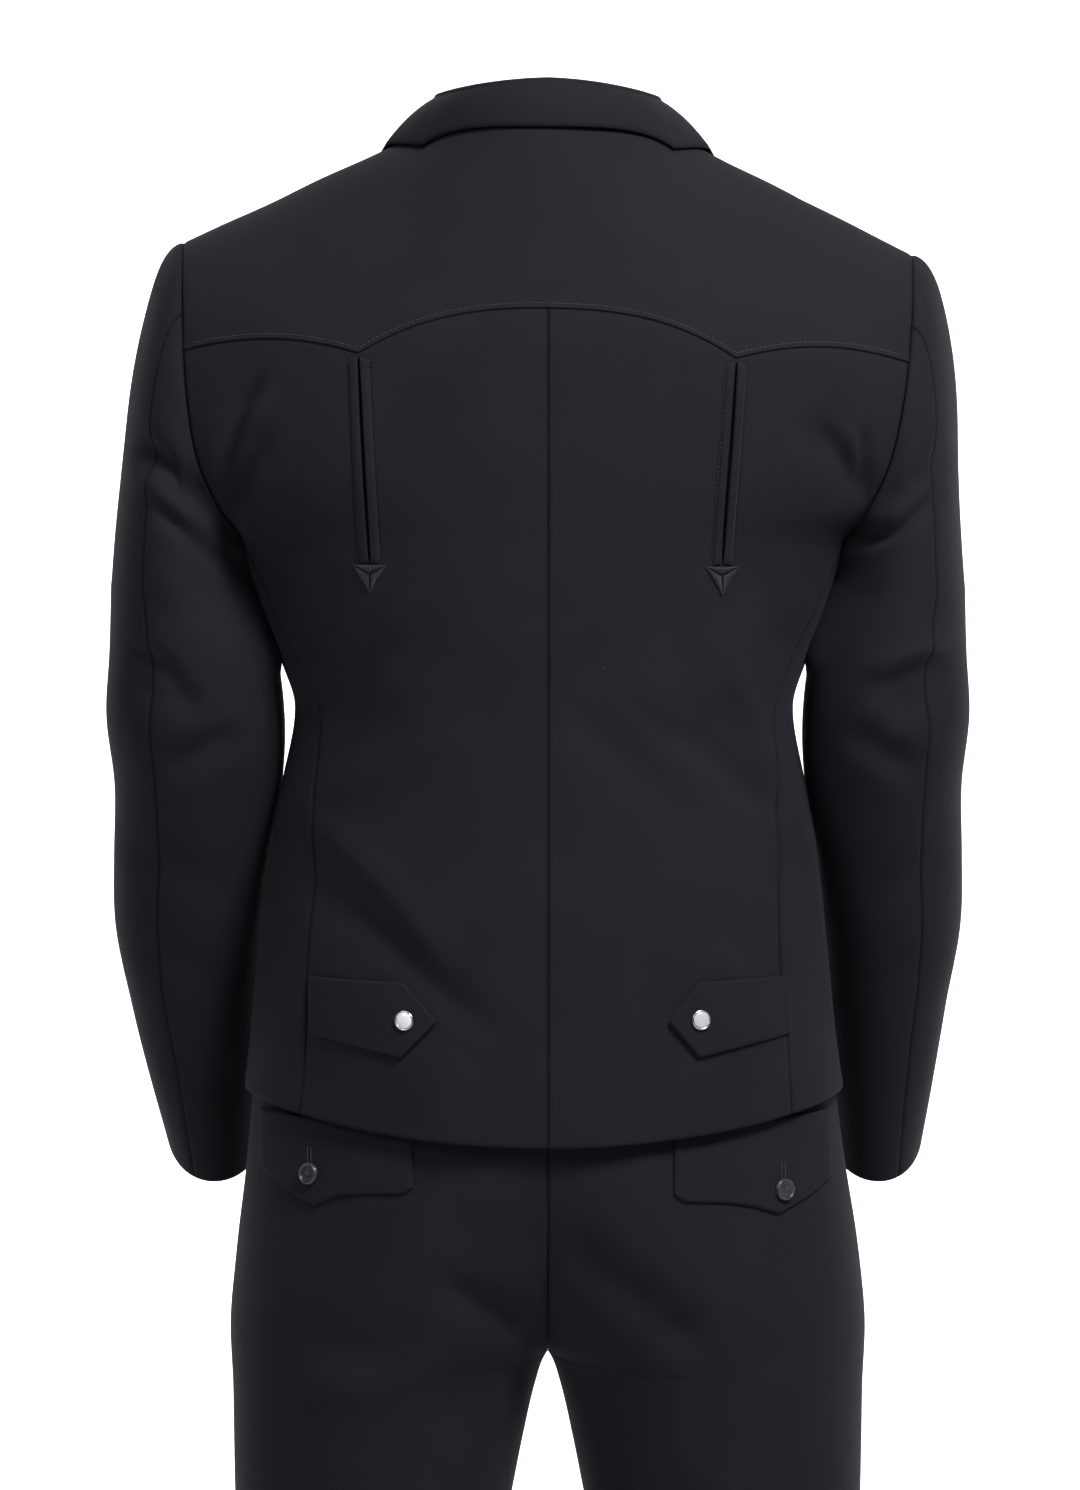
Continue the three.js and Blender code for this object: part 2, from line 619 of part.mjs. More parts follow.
// The collar: a stand that rises from the neck seam and a fall that folds over it, one strip from
// gorge to gorge. q runs from the nape (0) past the shoulder seam (1) to the gorge (2).
const COLLAR = {
  wall: 2.2, pocket: 0.8, seat: 1.4, sink: 0.6,
  standBack: 23, standSide: 20.5, standGorge: 2.5, lean: 5.5,
  fallSideShare: 0.1, fallGorgeShare: 0.25, fallBack: 0.045, frontSlant: 0.05,
};

function collarSection(q) {
  const up = V(0, 0, 1);
  const behind = q <= 1;
  const toGorge = ease(q - 1);
  const row = behind ? 2 : mix(2, LAPEL.gorgeT + 0.012, q - 1);
  const seamU = behind ? NECK_SHARE * q : frontEdge(row);
  const [surface, facing] = behind ? [backBody, -1] : [frontBody, 1];
  const seamOut = outwardOf(surface, facing, seamU, row - 0.003);
  const seat = surface(seamU, row).addScaledVector(seamOut, COLLAR.seat + 1.2 * toGorge)
    .addScaledVector(up, -COLLAR.sink * (1 - toGorge));
  const ellipse = behind ? q * QUARTER : QUARTER;
  const flat = V(seamOut.x, seamOut.y, 0).normalize();
  const out = V(Math.sin(ellipse), Math.cos(ellipse), 0).lerp(flat, toGorge).normalize();
  const stand = behind ? mix(COLLAR.standBack, COLLAR.standSide, q)
    : mix(COLLAR.standSide, COLLAR.standGorge, toGorge);
  const top = seat.clone().addScaledVector(up, stand).addScaledVector(out, -COLLAR.lean * (1 - toGorge));
  const fallU = behind ? (NECK_SHARE + COLLAR.fallSideShare) * q
    : seamU + mix(COLLAR.fallSideShare, COLLAR.fallGorgeShare, q - 1);
  const fallRow = behind ? 2 - COLLAR.fallBack * (1 - q ** 3) : row + COLLAR.frontSlant * toGorge;
  const fallOut = outwardOf(surface, facing, fallU, Math.min(fallRow, 1.997));
  const clearance = COLLAR.wall / 2 + 1.2 + (behind ? 0 : 2.4 * toGorge);
  const hem = surface(fallU, Math.min(2, fallRow)).addScaledVector(fallOut, clearance);
  const half = (COLLAR.wall + COLLAR.pocket) / 2;
  const shoulder = top.clone().addScaledVector(out, half).addScaledVector(up, -COLLAR.wall);
  const bulge = shoulder.clone().lerp(hem, 0.35).addScaledVector(out, 5 * (1 - 0.6 * toGorge))
    .addScaledVector(up, 2 * (1 - toGorge));
  const fall = (s) => shoulder.clone().multiplyScalar((1 - s) ** 2)
    .addScaledVector(bulge, 2 * s * (1 - s)).addScaledVector(hem, s * s);
  const fallWay = (s) => out.clone().lerp(fallOut, s).normalize();
  const standTop = top.clone().addScaledVector(out, -half).addScaledVector(up, -COLLAR.wall);
  const w = COLLAR.wall / 2;
  const middle = [
    [seat, out, -1], [seat.clone().lerp(standTop, 0.5), out, -1], [standTop, out, -1],
    [top, up, 1],
    ...steps(0, 1, 4).map((s) => [fall(s), fallWay(s), 1]),
  ];
  return {
    outer: middle.map(([point, way, sign]) => point.clone().addScaledVector(way, sign * w)),
    inner: middle.map(([point, way, sign]) => point.clone().addScaledVector(way, -sign * w)),
  };
}

function collar() {
  const sections = steps(0, 2, 14).map(collarSection);
  const both = (name) => [
    ...sections.slice(1).reverse().map((section) => section[name].map(mirroredPoint)),
    ...sections.map((section) => section[name]),
  ];
  return wall(both("outer"), both("inner"));
}

function sleevePiece(side, angles) {
  const rows = [...steps(0, 1, CELLS.sleeveHead), ...steps(1, 2, CELLS.arm).slice(1)];
  const places = rows.map((r) => angles.map((angle) => [angle, r]));
  return panel((angle, r) => sleeveCloth(angle > 180 ? angle - 360 : angle, Math.max(r, 0)), -1,
    places, JACKET_WALL,
    { mirror: side === "right", wayIn: (angle, r) => (r > 0 ? null : armholeMitre(angle)) });
}

const topSleeveAngles = [
  ...steps(-FRONT_SEAM_ANGLE, 0, CELLS.frontUpper),
  ...yokeAngles.slice(1, -1).reverse(),
];
const underSleeveAngles = [
  HIND_SEAM_ANGLE,
  ...[...hindAngles].reverse(),
  ...steps(UNDERARM_ANGLE, 360 - UNDERARM_ANGLE, CELLS.side).slice(1),
  ...steps(360 - UNDERARM_ANGLE, 360 - FRONT_SEAM_ANGLE, CELLS.frontLower).slice(1),
];

// --- Trouser pieces ------------------------------------------------------------------------------

const LEG_CELLS = 9;
const legRows = [
  ...steps(TROUSER_HEM_Z, -1180, 5), ...steps(-1180, -897, 4).slice(1), -864, -830, CROTCH_Z, -799, -788,
  -770, ...steps(-745, TROUSER_TOP_Z, 7),
];

function legPanel(side, face) {
  const places = legRows.map((z) => steps(0, 1, LEG_CELLS).map((k) => [k, z]));
  const mirror = side === "right";
  return face === "back"
    ? panel(legCloth[side], -1, places, TROUSER_WALL, { mirror })
    : panel(legFront, 1, places, TROUSER_WALL, { mirror });
}

// The waistband goes round from the middle of the front to the middle of the back in one strip a side.
const WAISTBAND_WALL = 2.6;
const WAISTBAND_STANDS_OUT = 0.6;
const WAIST_BUTTON_X = 9;

function waistband(side) {
  const around = (s, z) => (s < 1 ? legPoint("back", s, z) : legPoint("front", 2 - s, z));
  const over = lifted(around, -1, () => WAISTBAND_STANDS_OUT);
  const places = steps(TROUSER_TOP_Z + SEAM_GAP, TROUSER_TOP_Z + WAISTBAND_HEIGHT, 1)
    .map((z) => steps(0, 2, 12).map((s) => [s, z]));
  return panel(over, -1, places, WAISTBAND_WALL, { mirror: side === "right" });
}

// --- The panels that carry the rest --------------------------------------------------------------

const SIDES = ["left", "right"];
const signOf = (side) => (side === "left" ? 1 : -1);
const body = { back_yoke: backYoke(), collar: collar() };
for (const side of SIDES) {
  body[`back_${side}`] = backPanel(signOf(side));
  body[`side_${side}`] = sidePanel(side);
  body[`front_${side}`] = frontPanel(side);
  body[`lapel_${side}`] = lapel(side);
  body[`top_sleeve_${side}`] = sleevePiece(side, topSleeveAngles);
  body[`under_sleeve_${side}`] = sleevePiece(side, underSleeveAngles);
  body[`back_leg_${side}`] = legPanel(side, "back");
  body[`front_leg_${side}`] = legPanel(side, "front");
  body[`waistband_${side}`] = waistband(side);
}
const backFacets = SIDES.flatMap((side) =>
  [...body[`back_${side}`].userData.facets, ...body[`side_${side}`].userData.facets]);

// --- Pieces that lie on a panel ------------------------------------------------------------------

// A flat piece sewn on: cross lines of [x, z] to [x, z], each laid on the panels' facets and moved out.
function appliedPiece(surface, facing, guess, lines, across, { on, thickness, lift, mirror = false }) {
  const grids = lines.map(([from, to], i) => steps(0, 1, across).map((s) => {
    const [x, z] = [mix(from[0], to[0], s), mix(from[1], to[1], s)];
    const place = locate(surface, x, z, guess);
    const turn = (vector) => (mirror ? mirroredPoint(vector) : vector);
    const way = turn(outwardOf(surface, facing, ...place));
    const point = restOn(on, turn(surface(...place)), way);
    const height = lift(i / (lines.length - 1));
    return [point.clone().addScaledVector(way, height + thickness), point.clone().addScaledVector(way, height)];
  }));
  const side = (k) => grids.map((line) => line.map((pair) => pair[k]));
  const geometry = wall(side(0), side(1));
  geometry.userData.facets = facets(side(0));
  return geometry;
}

// A round fastening turned about its own axis, with its rim a seam's gap above the facets it is on.
function fastening(surface, facing, guess, [x, z], on, profile, mirror = false) {
  const place = locate(surface, x, z, guess);
  const way = outwardOf(surface, facing, ...place);
  const across = V(0, 0, 1).cross(way).normalize();
  const middleOf = surface(...place);
  const triangles = mirror ? on.map((triangle) => triangle.map(mirroredPoint)) : on;
  const rim = steps(0, 2 * Math.PI, 16).flatMap((angle) => [0.4, 0.7, 1].map((share) => middleOf.clone()
    .addScaledVector(across, share * profile[1][0] * Math.cos(angle))
    .addScaledVector(way.clone().cross(across), share * profile[1][0] * Math.sin(angle))));
  const heights = [middleOf, ...rim].map((point) => restOn(triangles, point, way).sub(point).dot(way));
  const at = middleOf.addScaledVector(way, Math.max(...heights) + SEAM_GAP);
  const geometry = new THREE.LatheGeometry(profile.map(([r, h]) => new THREE.Vector2(r, h)), 20);
  const turned = new THREE.Quaternion().setFromUnitVectors(V(0, 1, 0), way);
  geometry.applyQuaternion(turned);
  geometry.translate(at.x, at.y, at.z);
  const middle = mirror ? mirroredPoint(at) : at;
  const move = stance(middle).sub(middle);
  if (mirror) geometry.scale(-1, 1, 1);
  geometry.translate(move.x, move.y, move.z);
  if (!mirror) return geometry;
  const index = [...geometry.getIndex().array];
  for (let i = 0; i < index.length; i += 3) [index[i], index[i + 1]] = [index[i + 1], index[i]];
  geometry.setIndex(index);
  return geometry;
}

// Each slit runs from the yoke's point down to an arrowhead tack, between two narrow welts.
const SLIT = { topX: 120, topZ: -148, footX: 112.5, footZ: -279, gap: 2, welt: 5.2, wall: 1.2, clear: 0.95 };
const TACK = { halfWidth: 11, topZ: -281, tipZ: -300, wall: 1.6, clear: 0.8 };
const onBackAt = (x) => [x / 230, 1.5];

function slitWelt(side, edge) {
  const lines = steps(0, 1, 7).map((s) => {
    const x = side * mix(SLIT.topX, SLIT.footX, s);
    const z = mix(SLIT.topZ, SLIT.footZ, s);
    const near = edge * SLIT.gap / 2;
    const far = edge * (SLIT.gap / 2 + SLIT.welt);
    return [[x + near, z - 0.25 * Math.abs(near)], [x + far, z - 0.25 * Math.abs(far)]];
  });
  return appliedPiece(backCloth, -1, onBackAt(side * SLIT.topX), lines, 1,
    { on: backFacets, thickness: SLIT.wall, lift: () => SLIT.clear });
}

function slitTack(side) {
  const x = side * SLIT.footX;
  const lines = steps(0, 1, 4).map((s) => {
    const half = mix(TACK.halfWidth, 0.8, s);
    const z = mix(TACK.topZ, TACK.tipZ, s);
    return [[x - half, z], [x + half, z]];
  });
  return appliedPiece(backCloth, -1, onBackAt(x), lines, 2,
    { on: backFacets, thickness: TACK.wall, lift: () => TACK.clear });
}

// Each back tab runs from the side seam to a pointed end, held by a snap.
const TAB = {
  left: { root: 151, corner: 92, tip: 71, snap: 89.5 },
  right: { root: 157, corner: 97.5, tip: 78, snap: 97.5 },
  topZ: -548, rootLowZ: -585, cornerLowZ: -596, tipZ: -572, wall: 2.4, clear: 0.95, tipLift: 2.2,
};

function backTab(side) {
  const { root, corner, tip } = TAB[side];
  const sign = signOf(side);
  const strip = steps(0, 1, 4).map((s) => {
    const x = sign * mix(root, corner, s);
    return [[x, mix(TAB.rootLowZ, TAB.cornerLowZ, s)], [x, TAB.topZ]];
  });
  const end = [[sign * tip, TAB.tipZ - 1], [sign * tip, TAB.tipZ + 1]];
  return appliedPiece(backCloth, -1, onBackAt(sign * root), [...strip, end], 2,
    { on: backFacets, thickness: TAB.wall, lift: (s) => TAB.clear + (TAB.tipLift - TAB.clear) * s * s });
}

const SNAP_PROFILE = [[0, 0], [6.2, 0], [6.6, 0.8], [5.9, 2], [3.5, 2.6], [0, 2.8]];
const BUTTON_PROFILE = [[0, 0], [6.4, 0], [7.2, 1], [7.2, 2.2], [6.4, 3], [5.2, 2.6], [4.4, 2], [0, 2]];

const tabs = { left: backTab("left"), right: backTab("right") };

function tabSnap(side) {
  const x = signOf(side) * TAB[side].snap;
  return fastening(backCloth, -1, onBackAt(x), [x, TAB.tipZ], tabs[side].userData.facets, SNAP_PROFILE);
}

const FRONT_SNAP_Z = { upper: -385, lower: -500 };

function frontSnap(z) {
  return fastening(frontCloth.left, 1, [0.001, 0.6], [0.5, z], body.front_left.userData.facets, SNAP_PROFILE);
}

// The fly's outer strip lies on the wearer's left front below the waistband.
const FLY = { width: 38, bottomZ: -668, wall: 1.4, clear: 0.9 };

function fly() {
  const rows = 9;
  const lines = steps(TROUSER_TOP_Z - 2, FLY.bottomZ, rows).map((z, i) =>
    [[0.6, z], [FLY.width * (i < rows ? 1 : 0.45), z]]);
  return appliedPiece(legFront, 1, [0.15, -600], lines, 3,
    { on: body.front_leg_left.userData.facets, thickness: FLY.wall, lift: () => FLY.clear });
}

// Each back pocket flap hangs from under the jacket's hem and comes to a blunt point at its button.
const FLAP = {
  left: table(["x", "low"], [
    [86, -680], [92, -684], [118, -685.5], [134, -688], [150, -696],
    [167, -688], [184, -676],
  ]),
  right: table(["x", "low"], [
    [81, -684], [88, -689], [115, -691], [132, -694.5], [148.6, -701],
    [169, -692], [184, -682],
  ]),
  topZ: -640, wall: 2.2, clear: 0.9, flare: 0.8, buttonX: 151, buttonZ: { left: -676, right: -686 },
};

function pocketFlap(side) {
  const [first, last] = [FLAP[side][0].x, FLAP[side].at(-1).x];
  const lines = steps(first, last, 12).map((x) =>
    [[x, readStraight(FLAP[side], "low", x)], [x, FLAP.topZ]]);
  return appliedPiece(legCloth[side], -1, [0.6, -660], lines, 3, {
    on: body[`back_leg_${side}`].userData.facets,
    thickness: FLAP.wall, lift: (s) => FLAP.clear + FLAP.flare * s * s, mirror: side === "right",
  });
}

const flaps = { left: pocketFlap("left"), right: pocketFlap("right") };

function flapButton(side) {
  return fastening(legCloth[side], -1, [0.6, -660], [FLAP.buttonX, FLAP.buttonZ[side]],
    flaps[side].userData.facets, BUTTON_PROFILE, side === "right");
}

function waistButton() {
  return fastening(legFront, 1, [0.03, -500], [WAIST_BUTTON_X, TROUSER_TOP_Z + WAISTBAND_HEIGHT / 2],
    body.waistband_left.userData.facets, BUTTON_PROFILE);
}

// --- The suit ------------------------------------------------------------------------------------

const finish = (color, roughness, metalness = 0) =>
  new THREE.MeshStandardMaterial({ color, roughness, metalness });
const wool = finish(0x26272b, 0.85);
const collarWool = finish(0x2a2b30, 0.85);
const tackThread = finish(0x1b1b1e, 0.5);
const pearl = finish(0xe6e4de, 0.25);
const horn = finish(0x34353a, 0.35);

const suit = new THREE.Group();
suit.name = "western_suit";
const add = (name, material, geometry) => {
  const mesh = new THREE.Mesh(geometry, material);
  mesh.name = name;
  suit.add(mesh);
};

for (const [name, geometry] of Object.entries(body)) {
  add(name, /collar|lapel/.test(name) ? collarWool : wool, geometry);
}
for (const side of SIDES) {
  const sign = signOf(side);
  add(`slit_welt_${side}_outer`, wool, slitWelt(sign, sign));
  add(`slit_welt_${side}_inner`, wool, slitWelt(sign, -sign));
  add(`arrow_tack_${side}`, tackThread, slitTack(sign));
  add(`back_tab_${side}`, wool, tabs[side]);
  add(`tab_snap_${side}`, pearl, tabSnap(side));
  add(`pocket_flap_${side}`, wool, flaps[side]);
  add(`flap_button_${side}`, horn, flapButton(side));
}
add("front_snap_upper", pearl, frontSnap(FRONT_SNAP_Z.upper));
add("front_snap_lower", pearl, frontSnap(FRONT_SNAP_Z.lower));
add("trouser_fly", wool, fly());
add("waist_button", horn, waistButton());

export default suit;
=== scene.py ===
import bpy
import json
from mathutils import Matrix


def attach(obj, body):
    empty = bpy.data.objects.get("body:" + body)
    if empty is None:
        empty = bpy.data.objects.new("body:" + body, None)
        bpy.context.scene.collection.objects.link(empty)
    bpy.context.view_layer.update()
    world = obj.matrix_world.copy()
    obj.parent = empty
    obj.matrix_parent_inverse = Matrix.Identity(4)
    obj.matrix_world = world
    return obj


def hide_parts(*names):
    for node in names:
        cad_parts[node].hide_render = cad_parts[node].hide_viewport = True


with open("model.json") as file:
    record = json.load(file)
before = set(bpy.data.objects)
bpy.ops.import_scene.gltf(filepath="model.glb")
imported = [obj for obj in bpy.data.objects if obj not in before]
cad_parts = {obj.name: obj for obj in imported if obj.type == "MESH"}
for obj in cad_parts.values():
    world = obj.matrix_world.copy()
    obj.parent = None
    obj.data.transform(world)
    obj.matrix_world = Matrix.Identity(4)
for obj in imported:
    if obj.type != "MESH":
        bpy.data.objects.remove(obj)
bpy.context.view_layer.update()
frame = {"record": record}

import json
import math

import bpy
import numpy as np

# ==== Camera, light and floor =====================================================================
# A long lens behind the wearer, a little above the waist and tipped down, with soft light from the
# upper right and a pale floor under the hems.

camera = bpy.data.objects.new("camera", bpy.data.cameras.new("camera"))
camera.location = (0.0051, 4.2, -0.038)
camera.rotation_euler = (math.radians(85), 0, math.pi)
camera.data.lens = 155.4
camera.data.sensor_width = 36
camera.data.clip_end = 100
bpy.context.collection.objects.link(camera)
bpy.context.scene.camera = camera


def soft_light(name, place, aim, size, power):
    lamp = bpy.data.objects.new(name, bpy.data.lights.new(name, "AREA"))
    lamp.data.shape = "RECTANGLE"
    lamp.data.size, lamp.data.size_y = size
    lamp.data.energy = power
    lamp.location = place
    way = np.array(aim) - np.array(place)
    level = math.hypot(way[0], way[1])
    lamp.rotation_euler = (math.atan2(level, -way[2]), 0, math.atan2(-way[0], way[1]))
    bpy.context.collection.objects.link(lamp)


soft_light("key_light", (-1.05, 1.45, 1.55), (0, 0, -0.15), (0.8, 0.8), 92)
soft_light("fill_light", (1.9, 2.2, 1.3), (0, 0, -0.3), (1.0, 1.0), 26)

world = bpy.data.worlds.new("studio")
bpy.context.scene.world = world
world.use_nodes = True
world.node_tree.nodes["Background"].inputs["Color"].default_value = (1, 1, 1, 1)
world.node_tree.nodes["Background"].inputs["Strength"].default_value = 0.06
bpy.context.scene.view_settings.view_transform = "Standard"

FLOOR_Z, SWEEP_FRONT, SWEEP_BACK, SWEEP_RADIUS, SWEEP_TOP, SWEEP_HALF = -1.632, 7, -2.6, 0.9, 5, 8


def studio_sweep():
    """The floor, which curves up behind the suit into a plain backdrop."""
    turn = np.linspace(0, np.pi / 2, 17)
    y = np.concatenate([[SWEEP_FRONT], SWEEP_BACK - SWEEP_RADIUS * np.sin(turn),
                        [SWEEP_BACK - SWEEP_RADIUS]])
    z = np.concatenate([[FLOOR_Z], FLOOR_Z + SWEEP_RADIUS * (1 - np.cos(turn)), [SWEEP_TOP]])
    points = [(x, *place) for x in (-SWEEP_HALF, SWEEP_HALF) for place in zip(y.tolist(), z.tolist())]
    count = len(y)
    mesh = bpy.data.meshes.new("studio_sweep")
    mesh.from_pydata(points, [], [(i, i + 1, i + 1 + count, i + count) for i in range(count - 1)])
    mesh.polygons.foreach_set("use_smooth", [True] * (count - 1))
    sweep = bpy.data.objects.new("studio_sweep", mesh)
    bpy.context.collection.objects.link(sweep)
    return sweep


class Socket:
    """An output of a material's node, which takes part in sums."""

    def __init__(self, shader, output):
        self.shader, self.output = shader, output

    def __add__(self, other): return self.shader.math("ADD", self, other)
    def __radd__(self, other): return self.shader.math("ADD", other, self)
    def __sub__(self, other): return self.shader.math("SUBTRACT", self, other)
    def __rsub__(self, other): return self.shader.math("SUBTRACT", other, self)
    def __mul__(self, other): return self.shader.math("MULTIPLY", self, other)
    def __rmul__(self, other): return self.shader.math("MULTIPLY", other, self)
    def __truediv__(self, other): return self.shader.math("DIVIDE", self, other)
    def __pow__(self, other): return self.shader.math("POWER", self, other)


class Shader:
    """A material, with the kinds of node that the cloth and the fastenings are made from."""

    def __init__(self, name, **fixed):
        self.material = bpy.data.materials.new(name)
        self.material.use_nodes = True
        self.tree = self.material.node_tree
        self.surface = self.tree.nodes["Principled BSDF"]
        for socket, value in fixed.items():
            self.surface.inputs[socket.replace("_", " ")].default_value = value

    def feed(self, socket, value):
        if isinstance(value, Socket):
            self.tree.links.new(value.output, socket)
        else:
            socket.default_value = value

    def node(self, kind, inputs=(), output=0, **settings):
        made = self.tree.nodes.new("ShaderNode" + kind)
        for name, value in settings.items():
            setattr(made, name, value)
        for name, value in dict(inputs).items():
            self.feed(made.inputs[name], value)
        return Socket(self, made.outputs[output])

    def math(self, operation, *values):
        return self.node("Math", enumerate(values), operation=operation)

    def sin(self, value): return self.math("SINE", value)
    def smallest(self, value, limit): return self.math("MINIMUM", value, limit)
    def largest(self, value, limit): return self.math("MAXIMUM", value, limit)
    def object_place(self): return self.node("TexCoord", output="Object")
    def attribute(self, name): return self.node("Attribute", output="Fac", attribute_name=name)

    def noise(self, scale, detail=2.0):
        return self.node("TexNoise", {"Vector": self.object_place(), "Scale": scale, "Detail": detail})

    def split(self, vector):
        made = self.tree.nodes.new("ShaderNodeSeparateXYZ")
        self.feed(made.inputs[0], vector)
        return [Socket(self, output) for output in made.outputs]

    def colour_mix(self, low, high, share):
        made = self.tree.nodes.new("ShaderNodeMix")
        made.data_type = "RGBA"
        self.feed(made.inputs["Factor"], share)
        self.feed(made.inputs[6], low)
        self.feed(made.inputs[7], high)
        return Socket(self, made.outputs[2])

    def bump(self, height, distance, strength):
        return self.node("Bump", {"Height": height, "Distance": distance, "Strength": strength},
                         output="Normal")

    def finish(self, **ends):
        for socket, value in ends.items():
            self.feed(self.surface.inputs[socket.replace("_", " ")], value)
        return self.material


paper = Shader("studio_paper", Roughness=0.9, Emission_Strength=1.1)
paper_tone = paper.colour_mix((0.9, 0.9, 0.91, 1), (0.94, 0.94, 0.94, 1), paper.noise(0.7))
_, paper_y, _ = paper.split(paper.object_place())
behind = paper.smallest(paper.largest(-1.0 - paper_y, 0.0), 1.0)
glow = paper.colour_mix((0, 0, 0, 1), (1, 1, 1, 1), behind)
studio_sweep().data.materials.append(paper.finish(Base_Color=paper_tone, Emission_Color=glow))

# ==== Wool cloth ==================================================================================
# A fine worsted twill, near black. The diagonal ribs run along the cut of each panel, the fibres
# make the tone uneven, and a few specks of lint lie on it.

RIB = 0.00075           # metres from rib to rib
YARN = 0.0005


def wool(name, dark, light, roughness=0.8):
    cloth = Shader(name, Sheen_Weight=0.03, Sheen_Roughness=0.5, Sheen_Tint=(0.75, 0.82, 1, 1),
                   Specular_IOR_Level=0.05)
    u, v, _ = cloth.split(cloth.node("UVMap", output="UV", uv_map="cut"))
    ribs = cloth.sin((u + v * 0.8) * (2 * math.pi / RIB))
    yarns = cloth.sin(v * (2 * math.pi / YARN)) * cloth.sin(u * (2 * math.pi / YARN))
    fibre = cloth.noise(1400, 3.0)
    mottle = cloth.noise(24, 3.0)
    patch = cloth.noise(5, 1.0)
    speck = cloth.node("TexVoronoi", {"Vector": cloth.object_place(), "Scale": 24.0}, output="Distance")
    lint = 1 - cloth.smallest(speck / 0.011, 1.0)
    tone = mottle * 0.45 + patch * 0.3 + fibre * 0.25 + ribs * 0.04
    base = cloth.colour_mix(dark, light, tone)
    worn = cloth.colour_mix(base, (0.3, 0.31, 0.33, 1), lint * 0.8)
    # Painted shade: the shade attribute darkens the colour towards near black along seams, in the slits,
    # along the collar's hem and on the inner sides.
    shaded = cloth.colour_mix((0.0015, 0.0015, 0.002, 1), worn, cloth.attribute("shade"))
    height = ribs * 0.5 + yarns * 0.2 + fibre * 0.7
    return cloth.finish(Base_Color=shaded, Roughness=mottle * 0.1 + (roughness - 0.05),
                        Normal=cloth.bump(height, 0.00012, 0.35))


suit_wool = wool("suit_wool", (0.0088, 0.0094, 0.0118, 1), (0.0162, 0.0172, 0.0212, 1))
collar_wool = wool("collar_wool", (0.0092, 0.0098, 0.0121, 1), (0.0168, 0.0178, 0.0217, 1))

# ==== Back of the jacket ==========================================================================
# Two fused wool panels joined down the middle, from the hem to the scalloped edge of the yoke. The
# cloth is drawn in at the waist, and folds run from the side to the tab and down from the armholes.

JACKET_WALL = 1.8
SEAM_PULL = 0.18
ARMPIT_Z = -265
HEM_BACK, HEM_SIDE, HEM_FRONT = -652, -630, -640
BODY_Y = 4
NECK_HALF, NECK_BACK, NECK_FRONT, NECK_Y, NECK_Z, NAPE_RISE, PIT_DROP = 76, 58, 66, 6, -3, 8, 72
SHOULDER_TIP_Z = -77
UNDERARM = 163.5        # the armhole angle where the side panel begins
SHOULDER_ROW = 75
NECK_SHARE = 0.34
RIGHT_SHOULDER_DROP = 8
ARM_SWAY = 6.5
SIDES = {"left": 1, "right": -1}


def mix(a, b, s):
    return a + (b - a) * s


def ease(value):
    value = np.clip(value, 0, 1)
    return value * value * (3 - 2 * value)


def at(x, y, z):
    return np.stack(np.broadcast_arrays(x, y, z), axis=-1).astype(float)


def unit(vector):
    return vector / np.maximum(np.linalg.norm(vector, axis=-1, keepdims=True), 1e-12)


def side_of(u):
    return np.where(u < 0, -1, 1)


def mirrored(mirror):
    return np.array([-1, 1, 1]) if mirror else np.ones(3)


def table(names, *rows):
    return dict(zip(names.split(), np.array(rows, float).T))


def follow(keys, path, where):
    """Places on a path of points, each of which has its key."""
    return np.stack([np.interp(where, keys, path[:, i]) for i in range(3)], -1)


def hermite(start, start_slope, end, end_slope, s):
    s2, s3 = s * s, s * s * s
    return (start * (2 * s3 - 3 * s2 + 1) + start_slope * (s3 - 2 * s2 + s)
            + end * (3 * s2 - 2 * s3) + end_slope * (s3 - s2))


def read(rows, name, where):
    """One column of a table, on a smooth curve through its rows."""
    keys, values = next(iter(rows.values())), rows[name]
    place = np.clip(where, keys[0], keys[-1])
    i = np.clip(np.searchsorted(keys, place, side="left") - 1, 0, len(keys) - 2)
    number = np.arange(len(keys))
    before, after = np.maximum(number - 1, 0), np.minimum(number + 1, len(keys) - 1)
    slopes = (values[after] - values[before]) / (keys[after] - keys[before])
    span = keys[i + 1] - keys[i]
    return hermite(values[i], slopes[i] * span, values[i + 1], slopes[i + 1] * span,
                   (place - keys[i]) / span)


TORSO = table("z side back front",
    (-630, 197, 135, 121), (-600, 193, 133, 120), (-540, 187, 127, 119), (-480, 180, 121, 119),
    (-430, 171.5, 117, 119), (-380, 163, 115, 121), (-350, 171.5, 115.5, 122), (-320, 183, 117, 124),
    (-265, 202, 119, 126))
SIDE_SEAMS = table("t back front", (0, 0.60, 1.32), (0.4, 0.63, 1.28), (0.7, 0.72, 1.23), (1, 0.85, 1.15))


def ring(t, c):
    """A point of the closed rings below the armpit: t up from the hem, c from back (0) to front (2)."""
    t, c = np.broadcast_arrays(np.asarray(t, float), np.asarray(c, float))
    behind = c < 1
    side_z = mix(HEM_SIDE, ARMPIT_Z, t)
    middle_z = mix(np.where(behind, HEM_BACK, HEM_FRONT), ARMPIT_Z, t)
    angle = np.pi / 2 * np.where(behind, c, 2 - c)
    depth = np.where(behind, read(TORSO, "back", side_z), -read(TORSO, "front", side_z))
    return at(read(TORSO, "side", side_z) * np.sin(angle), BODY_Y + depth * np.cos(angle),
              mix(middle_z, side_z, np.sin(angle) ** 2))


